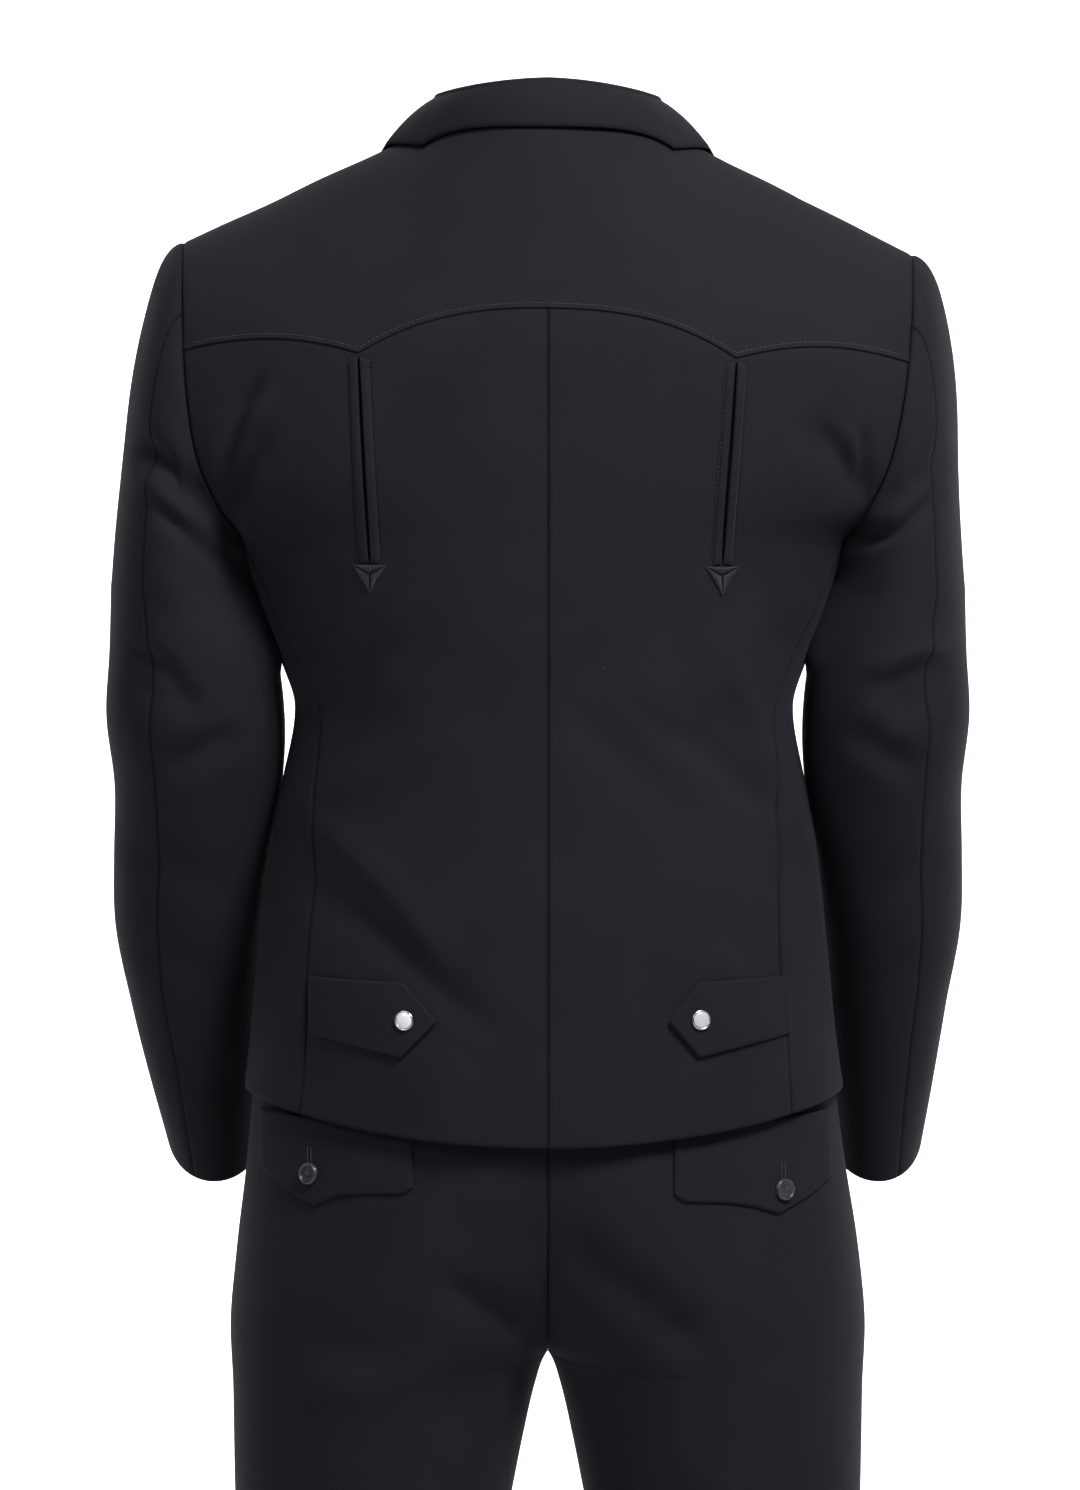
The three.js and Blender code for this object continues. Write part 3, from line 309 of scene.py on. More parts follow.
back_seam = ring(1, read(SIDE_SEAMS, "back", 1))
front_seam = ring(1, read(SIDE_SEAMS, "front", 1))
ARMHOLE = table("angle x y z",
    (-UNDERARM, *front_seam), (-145, 201, -47, -250), (-120, 203, -68, -215), (-90, 209, -74, -166),
    (-60, 220, -62, -122), (-30, 231, -36, -92), (0, 237, -4, SHOULDER_TIP_Z), (30, 236.5, 28, -92),
    (60, 235, 51, -123), (90, 231, 66, -168), (120, 223, 69, -212), (145, 209, 56, -246),
    (UNDERARM, *back_seam))
UPPER = {
    "back": table("angle z y bend", (SHOULDER_ROW, -148, 125.5, 53), (90, -171, 126, 55),
                  (120, -214, 126, 60), (145, -246, 124.5, 68), (UNDERARM, ARMPIT_Z, BODY_Y + 119, 76.5)),
    "front": table("angle z y bend", (SHOULDER_ROW, -150, -107, 55), (90, -170, -113, 57),
                   (120, -214, -121, 62), (145, -247, -122.5, 70),
                   (UNDERARM, ARMPIT_Z, BODY_Y - 126, 76.5)),
}


def armhole(angle):
    angle = np.asarray(angle, float)
    on_table = at(*(read(ARMHOLE, name, angle) for name in "xyz"))
    share = np.clip((180 - np.abs(angle)) / (180 - UNDERARM), 0, 1)
    seam = np.where(angle > 0, read(SIDE_SEAMS, "back", 1), read(SIDE_SEAMS, "front", 1))
    return np.where((np.abs(angle) <= UNDERARM)[..., None], on_table, ring(1, mix(1, seam, share)))


def upper_row(face, angle, u):
    edge = armhole(angle if face == "back" else -angle)
    bend = np.radians(read(UPPER[face], "bend", angle))
    share = np.sin(bend * u) / np.sin(bend)
    crown = (np.cos(bend * u) - np.cos(bend)) / (1 - np.cos(bend))
    return at(edge[..., 0] * share, mix(edge[..., 1], read(UPPER[face], "y", angle), crown),
              mix(read(UPPER[face], "z", angle), edge[..., 2], share ** 2))


def top_edge(face, u):
    """The neck seam from the middle, then the shoulder seam out to the tip."""
    side, along = side_of(u), np.abs(u)
    angle = np.pi / 2 * np.clip(along / NECK_SHARE, 0, 1)
    if face == "back":
        depth, rise = NECK_BACK * np.cos(angle), NAPE_RISE * np.cos(angle) ** 2
    else:
        depth, rise = -NECK_FRONT * np.cos(angle), -PIT_DROP * np.cos(angle)
    neck = at(side * NECK_HALF * np.sin(angle), NECK_Y + depth, NECK_Z + rise)
    share, tip = (along - NECK_SHARE) / (1 - NECK_SHARE), armhole(0)
    shoulder = at(side * mix(NECK_HALF, tip[0], share), mix(NECK_Y, tip[1], share),
                  mix(NECK_Z, tip[2], share))
    return np.where((along <= NECK_SHARE)[..., None], neck, shoulder)


EASE_U = np.linspace(-1.2, 1.2, 481)
EASE_WEIGHTS = {-0.2: 1, -0.15: 2, -0.1: 3, -0.05: 4, 0: 5, 0.05: 4, 0.1: 3, 0.15: 2, 0.2: 1}
EASED_TOP = {face: sum(top_edge(face, EASE_U + off) * weight for off, weight in EASE_WEIGHTS.items()) / 25
             for face in ("back", "front")}


def eased_top_edge(face, u, s):
    """The top edge with the corner at the neck point eased, the more so the further a row is below it."""
    return mix(top_edge(face, u), follow(EASE_U, EASED_TOP[face], u), 1 - s ** 3)


def shoulder_part(face, u, angle):
    """Above the shoulder row the cloth turns over the shoulder, its outer end drawn onto the armhole."""
    facing, below = (1 if face == "back" else -1), 5
    s = ((SHOULDER_ROW - angle) / SHOULDER_ROW)[..., None]

    def turned(where):
        start = upper_row(face, np.full_like(where, SHOULDER_ROW), where)
        before = upper_row(face, np.full_like(where, SHOULDER_ROW + below), where)
        rise = (start - before) * (SHOULDER_ROW / below)
        on_shoulder = ease(np.abs(where) / NECK_SHARE)
        arrival = at(0, facing * mix(-68, -98, on_shoulder), mix(86, 8, on_shoulder))
        return hermite(start, rise, eased_top_edge(face, where, s), arrival, s)

    miss = (armhole(facing * angle) - turned(np.ones_like(u))) * (np.abs(u) ** 3)[..., None]
    miss[..., 0] *= side_of(u)
    return turned(u) + miss


def plain_body(face, u, t):
    """u from the middle (0) to the side (1); t from the hem (0) to the armpit (1) and the top edge (2)."""
    u, t = (array.copy() for array in np.broadcast_arrays(np.asarray(u, float), np.asarray(t, float)))
    low = np.minimum(t, 1)
    seam = read(SIDE_SEAMS, face, low)
    lower = ring(low, seam * np.abs(u) if face == "back" else 2 - (2 - seam) * np.abs(u))
    lower[..., 0] *= side_of(u)
    angle = np.minimum(UNDERARM * (2 - t), UNDERARM)
    upper = np.where((angle >= SHOULDER_ROW)[..., None],
                     upper_row(face, np.maximum(angle, SHOULDER_ROW), u),
                     shoulder_part(face, u, np.minimum(angle, SHOULDER_ROW)))
    return np.where((t <= 1)[..., None], lower, upper)


PIT_BLEND, PIT_STEP, PIT_U = 0.14, 2e-3, np.linspace(-1.1, 1.1, 221)


def pit_bend(face):
    """How sharply each column of the plain body would turn where its rows meet at the armpits."""
    below, here, above = (plain_body(face, PIT_U, np.full_like(PIT_U, 1 + step))
                          for step in (-PIT_STEP, 0, PIT_STEP))
    return (below - 2 * here + above) / PIT_STEP * (1 - np.abs(PIT_U) ** 8)[:, None]


PIT_BENDS = {face: pit_bend(face) for face in ("back", "front")}


def body_point(face, u, t):
    """The plain body with that turn spread smoothly over some rows."""
    u, t = np.broadcast_arrays(np.asarray(u, float), np.asarray(t, float))
    off = np.clip(np.abs(t - 1) / PIT_BLEND, 0, 1)
    spread = (PIT_BLEND / 2) * (0.375 + 0.75 * off ** 2 - 0.125 * off ** 4 - off)
    return plain_body(face, u, t) + follow(PIT_U, PIT_BENDS[face], u) * spread[..., None]


def back_body(u, t):
    return body_point("back", u, t)


def front_body(u, t):
    return body_point("front", u, t)


def angle_row(angle):
    return 2 - angle / UNDERARM


# Folds run along a line in width and height, with a half-width, a depth and a sideways bow.
FOLD_NAMES = "x0 z0 x1 z1 width depth bow"
BACK_FOLDS = table(FOLD_NAMES,
    (150, -485, 45, -578, 17, -6, 0), (185, -200, 200, -240, 12, -5, 0),
    (-112, -335, -166, -470, 16, 4.4, 0), (-85, -380, -150, -440, 16, -4, 0),
    (-176, -190, -205, -230, 14, -6, 0), (150, -448, 70, -530, 13, 3.4, 6),
    (128, -512, 36, -590, 9, 2, -4), (187, -168, 206, -234, 6, -5.5, -5),
    (179, -174, 196, -240, 7, 3, -5), (189, -214, 201, -254, 5, -4.5, -2),
    (181, -220, 191, -258, 6, 2.4, -2), (159, -244, 176, -296, 8, -2.6, -3),
    (-206, -193, -209, -236, 5, -6, 0), (-182, -194, -205, -236, 6, -3.6, 2.5),
    (-195, -190, -206, -230, 5, 2.6, 0), (-168, -158, -197, -188, 8, -1.6, 0),
    (-24, -383, -87, -442, 13, -2.6, 3), (-75, -385, -146, -441, 9, -2.4, 3),
    (-120, -348, -168, -468, 7, 2.2, -3), (-60, -350, -120, -460, 14, 2, 4),
    (88, -330, 162, -392, 13, -2.2, -4), (70, -392, 150, -432, 12, 1.6, 3),
    (-70, -500, -150, -545, 16, -1.8, 5), (113, -305, 134, -400, 12, -1.6, 3),
    (-109, -305, -124, -392, 10, -1.4, -3), (60, -600, 66, -652, 18, 1.8, 0),
    (-78, -604, -70, -652, 20, -1.8, 0), (20, -590, 24, -652, 16, -1.2, 0),
    (-150, -560, -140, -640, 16, 1.5, 0), (170, -560, 150, -630, 15, -1.8, 3),
    (138, -290, 156, -345, 12, -2, 4), (-138, -285, -158, -340, 12, -2.2, -4))


def fold_depth(folds, x, z):
    total = np.zeros(np.broadcast(x, z).shape)
    for x0, z0, x1, z1, width, depth, bow in zip(*folds.values()):
        dx, dz = x1 - x0, z1 - z0
        length = math.hypot(dx, dz)
        along = ((x - x0) * dx + (z - z0) * dz) / length ** 2
        aside = ((x - x0) * dz - (z - z0) * dx) / length - bow * (1 - 4 * (np.clip(along, 0, 1) - 0.5) ** 2)
        past = np.maximum(0, np.abs(along - 0.5) - 0.3) * length
        total += depth * np.exp(-((aside / width) ** 2) - (past / max(1.3 * width, 0.28 * length)) ** 2)
    return total


def drape(x, z):
    """The slow unevenness that all hanging cloth has, in millimetres."""
    broad = 0.45 * np.sin(x / 23 + z / 41) * np.sin(z / 57 - x / 71 + 1.3)
    return broad + 0.25 * np.sin(x / 13 - z / 19 + 0.7)


def stance(points):
    """The wearer carries the right shoulder lower, and both arms hang towards the wearer's left."""
    x, y, z = points[..., 0], points[..., 1], points[..., 2]
    low = np.clip(-x / 236, 0, 1) ** 1.3 * ease((z + 380) / 240)
    hang = ease((-80 - z) / 200) * ease((z + 760) / 200)
    return at(x + ARM_SWAY * hang * (np.abs(x) / 282) ** 1.7, y, z - RIGHT_SHOULDER_DROP * low)


class Cloth:
    """A curved sheet in two parameters, with a height of folds above its plain surface."""

    def __init__(self, surface, facing, height, step=(2e-3, 2e-3)):
        self.surface, self.facing, self.height, self.step = surface, facing, height, step

    def out(self, a, b):
        along_a = self.surface(a + self.step[0], b) - self.surface(a - self.step[0], b)
        along_b = self.surface(a, b + self.step[1]) - self.surface(a, b - self.step[1])
        return unit(np.cross(along_a, along_b)) * self.facing

    def point(self, a, b, lift=0.0):
        base = self.surface(a, b)
        return base + self.out(a, b) * np.asarray(self.height(base, a, b) + lift)[..., None]

    def place(self, x, z, guess, second=2):
        """The parameters of a width and height (or depth, with second=1), found by stepping towards it."""
        a, b = (np.broadcast_to(value, np.shape(x)).astype(float) for value in guess)
        for _ in range(14):
            here = self.surface(a, b)
            da = (self.surface(a + 1e-3, b) - here) / 1e-3
            db = (self.surface(a, b + 1e-3) - here) / 1e-3
            det = da[..., 0] * db[..., second] - db[..., 0] * da[..., second]
            dx, dz = x - here[..., 0], z - here[..., second]
            a = a + np.clip((dx * db[..., second] - db[..., 0] * dz) / det, -0.3, 0.3)
            b = b + np.clip((da[..., 0] * dz - dx * da[..., second]) / det, -40, 40)
        return a, b


def clear_of_armhole(u, t):
    return np.where(t > 1, 1 - np.abs(u) ** 16, 1)


def back_height(p, u, t):
    folds = fold_depth(BACK_FOLDS, p[..., 0], p[..., 2]) + drape(p[..., 0], p[..., 2])
    return clear_of_armhole(u, t) * folds


back_cloth = Cloth(back_body, -1, back_height)


def spaced(length, cell, first=True, last=True):
    """Shares of a length a cell apart, closer at the ends where a seam turns in."""
    fine = [0.7, 1.5, 2.6, 4.0]
    low = fine if first else [0]
    high = fine if last else [0]
    count = max(1, round((length - low[-1] - high[-1]) / cell))
    middle = np.linspace(low[-1], length - high[-1], count + 1)
    marks = np.concatenate([[0], low, middle, [length - value for value in high], [length]])
    return np.unique(marks) / length


def along_lines(points, axis):
    gaps = np.linalg.norm(np.diff(points, axis=axis), axis=-1)
    zero = np.zeros_like(np.take(gaps, [0], axis=axis))
    return np.concatenate([zero, np.cumsum(gaps, axis=axis)], axis=axis)


def mesh_piece(name, points, faces, material, uv=None, shade=None):
    mesh = bpy.data.meshes.new(name)
    mesh.vertices.add(len(points))
    mesh.vertices.foreach_set("co", (np.asarray(points) * 0.001).ravel())
    sides = faces.shape[1]
    mesh.loops.add(faces.size)
    mesh.loops.foreach_set("vertex_index", faces.ravel())
    mesh.polygons.add(len(faces))
    mesh.polygons.foreach_set("loop_start", np.arange(0, faces.size, sides))
    if uv is not None:
        mesh.uv_layers.new(name="cut").data.foreach_set("uv", (uv[faces.ravel()] * 0.001).ravel())
    if shade is not None:
        mesh.attributes.new("shade", "FLOAT", "POINT").data.foreach_set("value", np.asarray(shade, float))
    mesh.update(calc_edges=True)
    mesh.validate()
    mesh.polygons.foreach_set("use_smooth", np.ones(len(mesh.polygons), bool))
    mesh.materials.append(material)
    piece = bpy.data.objects.new(name, mesh)
    bpy.context.collection.objects.link(piece)
    return piece


def solid(name, outer, inner, material, uv=None, shade=None):
    """One closed wall between two grids of points."""
    rows, columns = outer.shape[:2]
    count = rows * columns
    index = np.arange(count).reshape(rows, columns)
    over = np.stack([index[:-1, :-1], index[:-1, 1:], index[1:, 1:], index[1:, :-1]], -1).reshape(-1, 4)
    border = np.concatenate([index[0, :], index[1:, -1], index[-1, -2::-1], index[-2:0:-1, 0]])
    ahead = np.roll(border, -1)
    rim = np.stack([ahead, border, border + count, ahead + count], -1)
    faces = np.concatenate([over, over[:, ::-1] + count, rim])
    points = stance(np.concatenate([outer.reshape(-1, 3), inner.reshape(-1, 3)]))
    a, b, c, d = (points[faces[:, i]] for i in range(4))
    volume = np.sum(a * np.cross(b, c)) + np.sum(a * np.cross(c, d))
    if volume < 0:
        faces = faces[:, ::-1]
    if uv is None:
        uv = np.stack([along_lines(outer, 1), along_lines(outer, 0)], -1)
    uv = np.concatenate([uv.reshape(-1, 2), uv.reshape(-1, 2)])
    if shade is None:
        shade = np.ones((rows, columns))
    # Painted shade: the inner side's colour is darkened to 0.8 of the outer side's.
    shade = np.concatenate([shade.ravel(), 0.8 * shade.ravel()])
    return mesh_piece(name, points, np.ascontiguousarray(faces), material, uv, shade)


def drawn_in(grid):
    moved = grid.copy()
    for edge, inside in ((0, 1), (-1, -2)):
        moved[edge] += unit(grid[inside] - grid[edge]) * SEAM_PULL
    for edge, inside in ((0, 1), (-1, -2)):
        moved[:, edge] += unit(grid[:, inside] - grid[:, edge]) * SEAM_PULL
    return moved


SEAM_SLANT_ASIDE, SEAM_SLANT_DOWN = (-1.0, 0, 0), (0, 0, -1.0)
# A seam edge rolls in by a depth over a width, and shade is painted into the colour along it: "dark" is how
# much, "spread" how far.
ROLL = {"depth": 0.7, "width": 1.5, "dark": 0.4, "spread": 1.4}


def panel(name, cloth, a, b, wall, seams="lrbt", mirror=False, way_in=None, relief=None, slant=None,
          both_sides_meet=False, material=suit_wool):
    """A panel over a grid of places: its seam edges roll in, and its inner side is a wall's depth below.

    slant moves the inner side of an edge along, so that no light comes straight through the seam.
    both_sides_meet keeps an edge from rolling where the left and right panels lie against each other."""
    a, b = np.broadcast_arrays(a, b)
    base, way = cloth.surface(a, b), cloth.out(a, b)
    height = cloth.height(base, a, b)
    across, up = along_lines(base, 1), along_lines(base, 0)
    edge = {"l": across, "r": across[:, -1:] - across, "b": up, "t": up[-1:] - up}
    level = np.clip(2 * np.abs(way[..., 1]) - 1, 0, 1) if both_sides_meet else 1
    turn = level * sum(np.exp(-(edge[side] / ROLL["width"]) ** 2) for side in seams)
    # Painted shade: the colour is darkened along each seam, where the rolled edge lies in shade.
    dark = sum(np.exp(-(edge[side] / ROLL["spread"]) ** 2) for side in seams)
    shade = np.clip(1 - ROLL["dark"] * dark, 0.2, 1)
    height = height - ROLL["depth"] * np.minimum(turn, 1)
    if relief is not None:
        # A relief gives extra height and a factor of painted shade for the colour.
        extra, relief_shade = relief(base)
        height, shade = height + extra, shade * relief_shade
    outer = base + way * height[..., None]
    inward = -way * wall
    if way_in is not None:
        inward = way_in(a, b, inward)
    turned = mirrored(mirror)
    outer, inner = drawn_in(outer * turned), drawn_in((outer + inward) * turned)
    for side, way_along in (slant or {}).items():
        inner += np.exp(-(edge[side] / 3) ** 2)[..., None] * np.array(way_along)
    return solid(name, outer, inner, material, np.stack([across, up], -1), shade)


YOKE_MIDDLE_Z, YOKE_POINT_X, YOKE_POINT_Z, YOKE_SIDE_X, ARCH_RISE = -117, 120, -145.5, 234, 8.5


def yoke_edge_z(x):
    out = np.abs(x)
    half = (YOKE_SIDE_X - YOKE_POINT_X) / 2
    arch = YOKE_POINT_Z + ARCH_RISE * (1 - ((out - YOKE_POINT_X - half) / half) ** 2)
    return np.where(out < YOKE_POINT_X, mix(YOKE_MIDDLE_Z, YOKE_POINT_Z, (out / YOKE_POINT_X) ** 2.6), arch)


def yoke_edge_row(u):
    u = np.asarray(u, float)
    low, high = np.full(u.shape, 1.2), np.full(u.shape, 1.9)
    for _ in range(30):
        t = (low + high) / 2
        point = back_body(u, t)
        under = point[..., 2] < yoke_edge_z(point[..., 0])
        low, high = np.where(under, t, low), np.where(under, high, t)
    return np.where(np.abs(u) > 0.999, angle_row(SHOULDER_ROW), low)


# Each slit is a pressed-open line between its welts, from the yoke's point to the arrowhead.
SLIT = {"top_x": 120, "top_z": -148, "foot_x": 112.5, "foot_z": -279, "gap": 2.0, "welt": 5.2}


def slit_x(z):
    share = np.clip((z - SLIT["top_z"]) / (SLIT["foot_z"] - SLIT["top_z"]), 0, 1)
    return mix(SLIT["top_x"], SLIT["foot_x"], share)


# A groove along the slit and shallow ones beside the welts, with shade painted into the colour in the slit
# and along the grooves beside the welts.
def slit_relief(base):
    x, z = np.abs(base[..., 0]), base[..., 2]
    within = ease((SLIT["top_z"] - z) / 4) * ease((z - SLIT["foot_z"]) / 4)
    near = np.exp(-((x - slit_x(z)) / 0.9) ** 2) * within
    sides = np.exp(-((np.abs(x - slit_x(z)) - SLIT["gap"] / 2 - SLIT["welt"] - 0.5) / 0.8) ** 2) * within
    return -2.2 * near - 0.3 * sides, (1 - 0.96 * near) * (1 - 0.45 * sides)


CELL, SLIT_CELL, BACK_WIDTH = 3.0, 0.8, 215
slit_u = [float(back_cloth.place(np.array([x]), np.array([z]), (x / 230, 1.5))[0][0])
          for x, z in ((107, -270), (124, -150), (124, -270), (107, -150))]
low_u, high_u = 0.2, 0.8
for _ in range(30):
    middle_u = (low_u + high_u) / 2
    if float(back_body(middle_u, yoke_edge_row(middle_u))[0]) < YOKE_POINT_X:
        low_u = middle_u
    else:
        high_u = middle_u
yoke_point_u = low_u
back_columns = np.unique(np.concatenate([
    spaced(BACK_WIDTH, CELL), np.arange(min(slit_u), max(slit_u), SLIT_CELL / BACK_WIDTH), [yoke_point_u]]))
LOWER_LENGTH, UPPER_LENGTH = 387, 125


def mitre(angle):
    """Body and sleeve meet at an angle on the armhole, so both walls turn in along one line."""
    around = np.abs(angle)
    under = body_ring.out(np.ones_like(angle), np.ones_like(angle))
    side = np.where((angle < 0)[..., None], front_plain.out(np.ones_like(angle), angle_row(around)),
                    back_plain.out(np.ones_like(angle), angle_row(around)))
    body = np.where((around > UNDERARM)[..., None], under, side)
    between = unit(body + sleeve_plain.out(angle, np.full_like(angle, 0.004)))
    lean = np.maximum(0.7, np.sum(between * body, -1, keepdims=True))
    return -between * JACKET_WALL / lean


def body_way_in(sign):
    def turned(u, t, inward):
        angle = sign * UNDERARM * (2 - np.maximum(t, 1))
        way = mitre(angle) * np.stack([side_of(u), np.ones_like(u), np.ones_like(u)], -1)
        return np.where(((t >= 1) & (np.abs(u) > 0.999))[..., None], way, inward)
    return turned


# The sleeve's plain surface is needed for the mitre, so its sizes stand here.
ARM = table("along x y z half_x half_y tilt twist",
    (0, 235.8, 0, -300, 43.5, 76, 0, 3), (0.12, 227.4, 4, -345, 53, 71, 0, 3),
    (0.22, 226, 3, -385, 56.5, 66, 7, 3), (0.34, 225.5, -14, -430, 53.5, 62, 16, 5),
    (0.48, 229.5, -31, -480, 50.5, 60, 20, 7), (0.61, 232, -50, -530, 48.5, 58, 23, 9),
    (0.74, 228.5, -71, -580, 44, 57, 25, 9), (0.88, 225, -92, -632, 38, 57, 26, 8),
    (1, 222.5, -112, -680, 32, 56, 26, 6))
SLEEVE_HEAD = table("angle out away down fall",
    (0, 105, 0, 12, 200), (60, 70, 12, 20, 165), (90, 34, 14, 28, 115), (120, 24, 6, 28, 75),
    (150, 10, 0, 18, 42), (180, 4, 0, 12, 34))


def arm_ring(along, angle):
    part = {name: read(ARM, name, along) for name in ARM if name != "along"}
    off_middle = np.sin(np.radians(np.minimum(np.abs(angle), 180)))
    turn = np.radians(angle + part["twist"] * off_middle * np.sign(angle))
    across, tilt = part["half_y"] * np.sin(turn), np.radians(part["tilt"])
    return at(part["x"] + part["half_x"] * np.cos(turn), part["y"] + across * np.cos(tilt),
              part["z"] - across * np.sin(tilt))


def either_way(angle):
    """An angle round the sleeve, counted from its top to the front or to the back."""
    return np.where(angle > 180, angle - 360, angle)


def sleeve_point(angle, r):
    """The left sleeve: the angle is the armhole's, and r is 0 there, 1 at the biceps and 2 at the cuff."""
    angle, r = np.broadcast_arrays(np.asarray(angle, float), np.asarray(r, float))
    angle = either_way(angle)
    head = {name: read(SLEEVE_HEAD, name, np.abs(angle)) for name in SLEEVE_HEAD if name != "angle"}
    leave = at(head["out"], np.sign(angle) * head["away"], -head["down"])
    arrive = at(20 * np.cos(np.radians(angle)), 0, -head["fall"])
    biceps, share = arm_ring(np.zeros_like(r), angle), np.clip(r, 0, 1)[..., None]
    top = hermite(armhole(angle), leave, biceps, arrive, share)
    return np.where((r >= 1)[..., None], arm_ring(np.maximum(r - 1, 0), angle), top)


def flat(p, a, b):
    return np.zeros(p.shape[:-1])


body_ring = Cloth(ring, 1, flat)
back_plain = Cloth(back_body, -1, flat)
front_plain = Cloth(front_body, 1, flat)
sleeve_plain = Cloth(sleeve_point, -1, flat)

pieces = {}
lower_rows = spaced(LOWER_LENGTH, CELL, True, False)
upper_rows = spaced(UPPER_LENGTH, CELL, False, True)[1:]
for side, sign in SIDES.items():
    columns = sign * back_columns[None, :]
    edge_row = yoke_edge_row(columns)
    rows = np.concatenate([np.broadcast_to(lower_rows[:, None], (len(lower_rows), columns.shape[1])),
                           1 + (edge_row - 1) * upper_rows[:, None]])
    pieces[f"back_{side}"] = panel(f"back_{side}_cloth", back_cloth, columns, rows, JACKET_WALL,
                                   way_in=body_way_in(1), relief=slit_relief,
                                   slant={"l": SEAM_SLANT_ASIDE, "t": SEAM_SLANT_DOWN})

# ==== Yoke ========================================================================================
# One piece of wool over both shoulders. Its two arches are turned under, laid on the back and sewn
# down close to the edge.

YOKE_STITCH = 2.6       # from the edge up to its row of stitches
yoke_columns = np.concatenate([-back_columns[:0:-1], back_columns])[None, :]
yoke_share = spaced(150, CELL)[:, None]
yoke_rows = mix(yoke_edge_row(yoke_columns), 2, yoke_share)


def yoke_relief(base):
    above = base[..., 2] - yoke_edge_z(base[..., 0])
    lap = np.exp(-(above / 5) ** 2)
    stitched = np.exp(-((above - YOKE_STITCH) / 0.9) ** 2)
    return 0.9 * lap - 0.35 * stitched, np.ones(base.shape[:-1])


pieces["back_yoke"] = panel("back_yoke_cloth", back_cloth, yoke_columns, yoke_rows, JACKET_WALL, "lrt",
                            way_in=body_way_in(1), relief=yoke_relief, slant={"b": SEAM_SLANT_DOWN})

STRAND_SIDES = 6
STRAND_ANGLE = np.arange(STRAND_SIDES) * 2 * np.pi / STRAND_SIDES


def strands_piece(name, rings, material):
    """Threads, each from its row of six-sided rings and closed at both ends."""
    count = rings.shape[1] * STRAND_SIDES
    index = np.arange(count).reshape(-1, STRAND_SIDES)
    tube = np.stack([index[:-1], index[1:], np.roll(index[1:], -1, 1), np.roll(index[:-1], -1, 1)], -1)
    first = np.array([[0, 1, 2, 3], [0, 3, 4, 5]])
    last = np.array([[3, 2, 1, 0], [5, 4, 3, 0]]) + count - STRAND_SIDES
    faces = np.concatenate([tube.reshape(-1, 4), first, last])
    faces = (faces[None] + count * np.arange(len(rings))[:, None, None]).reshape(-1, 4)
    return mesh_piece(name, stance(rings.reshape(-1, 3)), np.ascontiguousarray(faces), material)


def stitches(name, path, out, material, pitch=3.1, length=2.2, radius=0.3, sink=0.12):
    """A row of thread stitches along a path, each a small rounded rod pressed into the cloth."""
    run = along_lines(path[None], 1)[0]
    middles = np.arange(pitch / 2, run[-1], pitch)
    place = follow(run, path, middles)
    way = unit(follow(run, path, middles + 0.5) - follow(run, path, middles - 0.5))
    over = unit(follow(run, out, middles))
    across = unit(np.cross(over, way))
    over = np.cross(way, across)
    share = np.array([-1, -0.82, -0.4, 0.4, 0.82, 1])
    size = radius * np.array([0.25, 0.75, 1, 1, 0.75, 0.25])
    rise = size - sink - 0.25 * share ** 2
    rods = (place[:, None, None] + way[:, None, None] * (share * length / 2)[None, :, None, None]
            + over[:, None, None] * (rise[:, None] + size[:, None] * np.sin(STRAND_ANGLE))[None, :, :, None]
            + across[:, None, None] * (size[:, None] * np.cos(STRAND_ANGLE))[None, :, :, None])
    return strands_piece(name, rods, material)


def thread(name, tone, gloss=0.45):
    yarn = Shader(name, Sheen_Weight=0.1, Specular_IOR_Level=0.5)
    strands = yarn.noise(2600, 1.0)
    dark = tuple(value * 0.55 for value in tone) + (1,)
    return yarn.finish(Base_Color=yarn.colour_mix(dark, tone + (1,), strands),
                       Roughness=strands * 0.15 + gloss, Normal=yarn.bump(strands, 0.0001, 0.5))


sewing_thread = thread("sewing_thread", (0.03, 0.032, 0.037))
tack_thread = thread("tack_thread", (0.022, 0.022, 0.025), 0.32)


def on_back(x, z, lift):
    """Points on the back's folded surface at a width and height, with the way out."""
    u, t = back_cloth.place(x, z, (0, 1.5))
    return back_cloth.point(u, t, lift), back_cloth.out(u, t)


yoke_x = np.linspace(-226, 226, 420)
pieces["yoke_stitches"] = stitches(
    "yoke_stitches", *on_back(yoke_x, yoke_edge_z(yoke_x) + YOKE_STITCH, 0.55), sewing_thread)

# ==== Side panels =================================================================================
# A narrow wool panel under each arm, between the back and the front.

side_seam_behind, side_seam_ahead = (float(read(SIDE_SEAMS, face, 1)) for face in ("back", "front"))


def side_folds(sign):
    def height(p, t, c):
        return fold_depth(BACK_FOLDS, sign * p[..., 0], p[..., 2]) * ease((1 - c) / 0.12)
    return height


def side_way_in(t, c, inward):
    angle = np.where(c < 1, mix(UNDERARM, 180, (c - side_seam_behind) / (1 - side_seam_behind)),
                     -mix(180, UNDERARM, (c - 1) / (side_seam_ahead - 1)))
    return np.where((t > 0.9999)[..., None], mitre(angle), inward)


for side, sign in SIDES.items():
    t = spaced(LOWER_LENGTH, 3.5)[:, None]
    c = mix(read(SIDE_SEAMS, "back", t), read(SIDE_SEAMS, "front", t), spaced(150, 3.5)[None, :])
    pieces[f"side_{side}"] = panel(f"side_{side}_cloth", Cloth(ring, 1, side_folds(sign)), t, c,
                                   JACKET_WALL, mirror=sign < 0, way_in=side_way_in)

# ==== Fronts ======================================================================================
# Two wool panels, the left lapped over the right and held by snaps. The edge turns back for the
# lapel from the upper snap on.

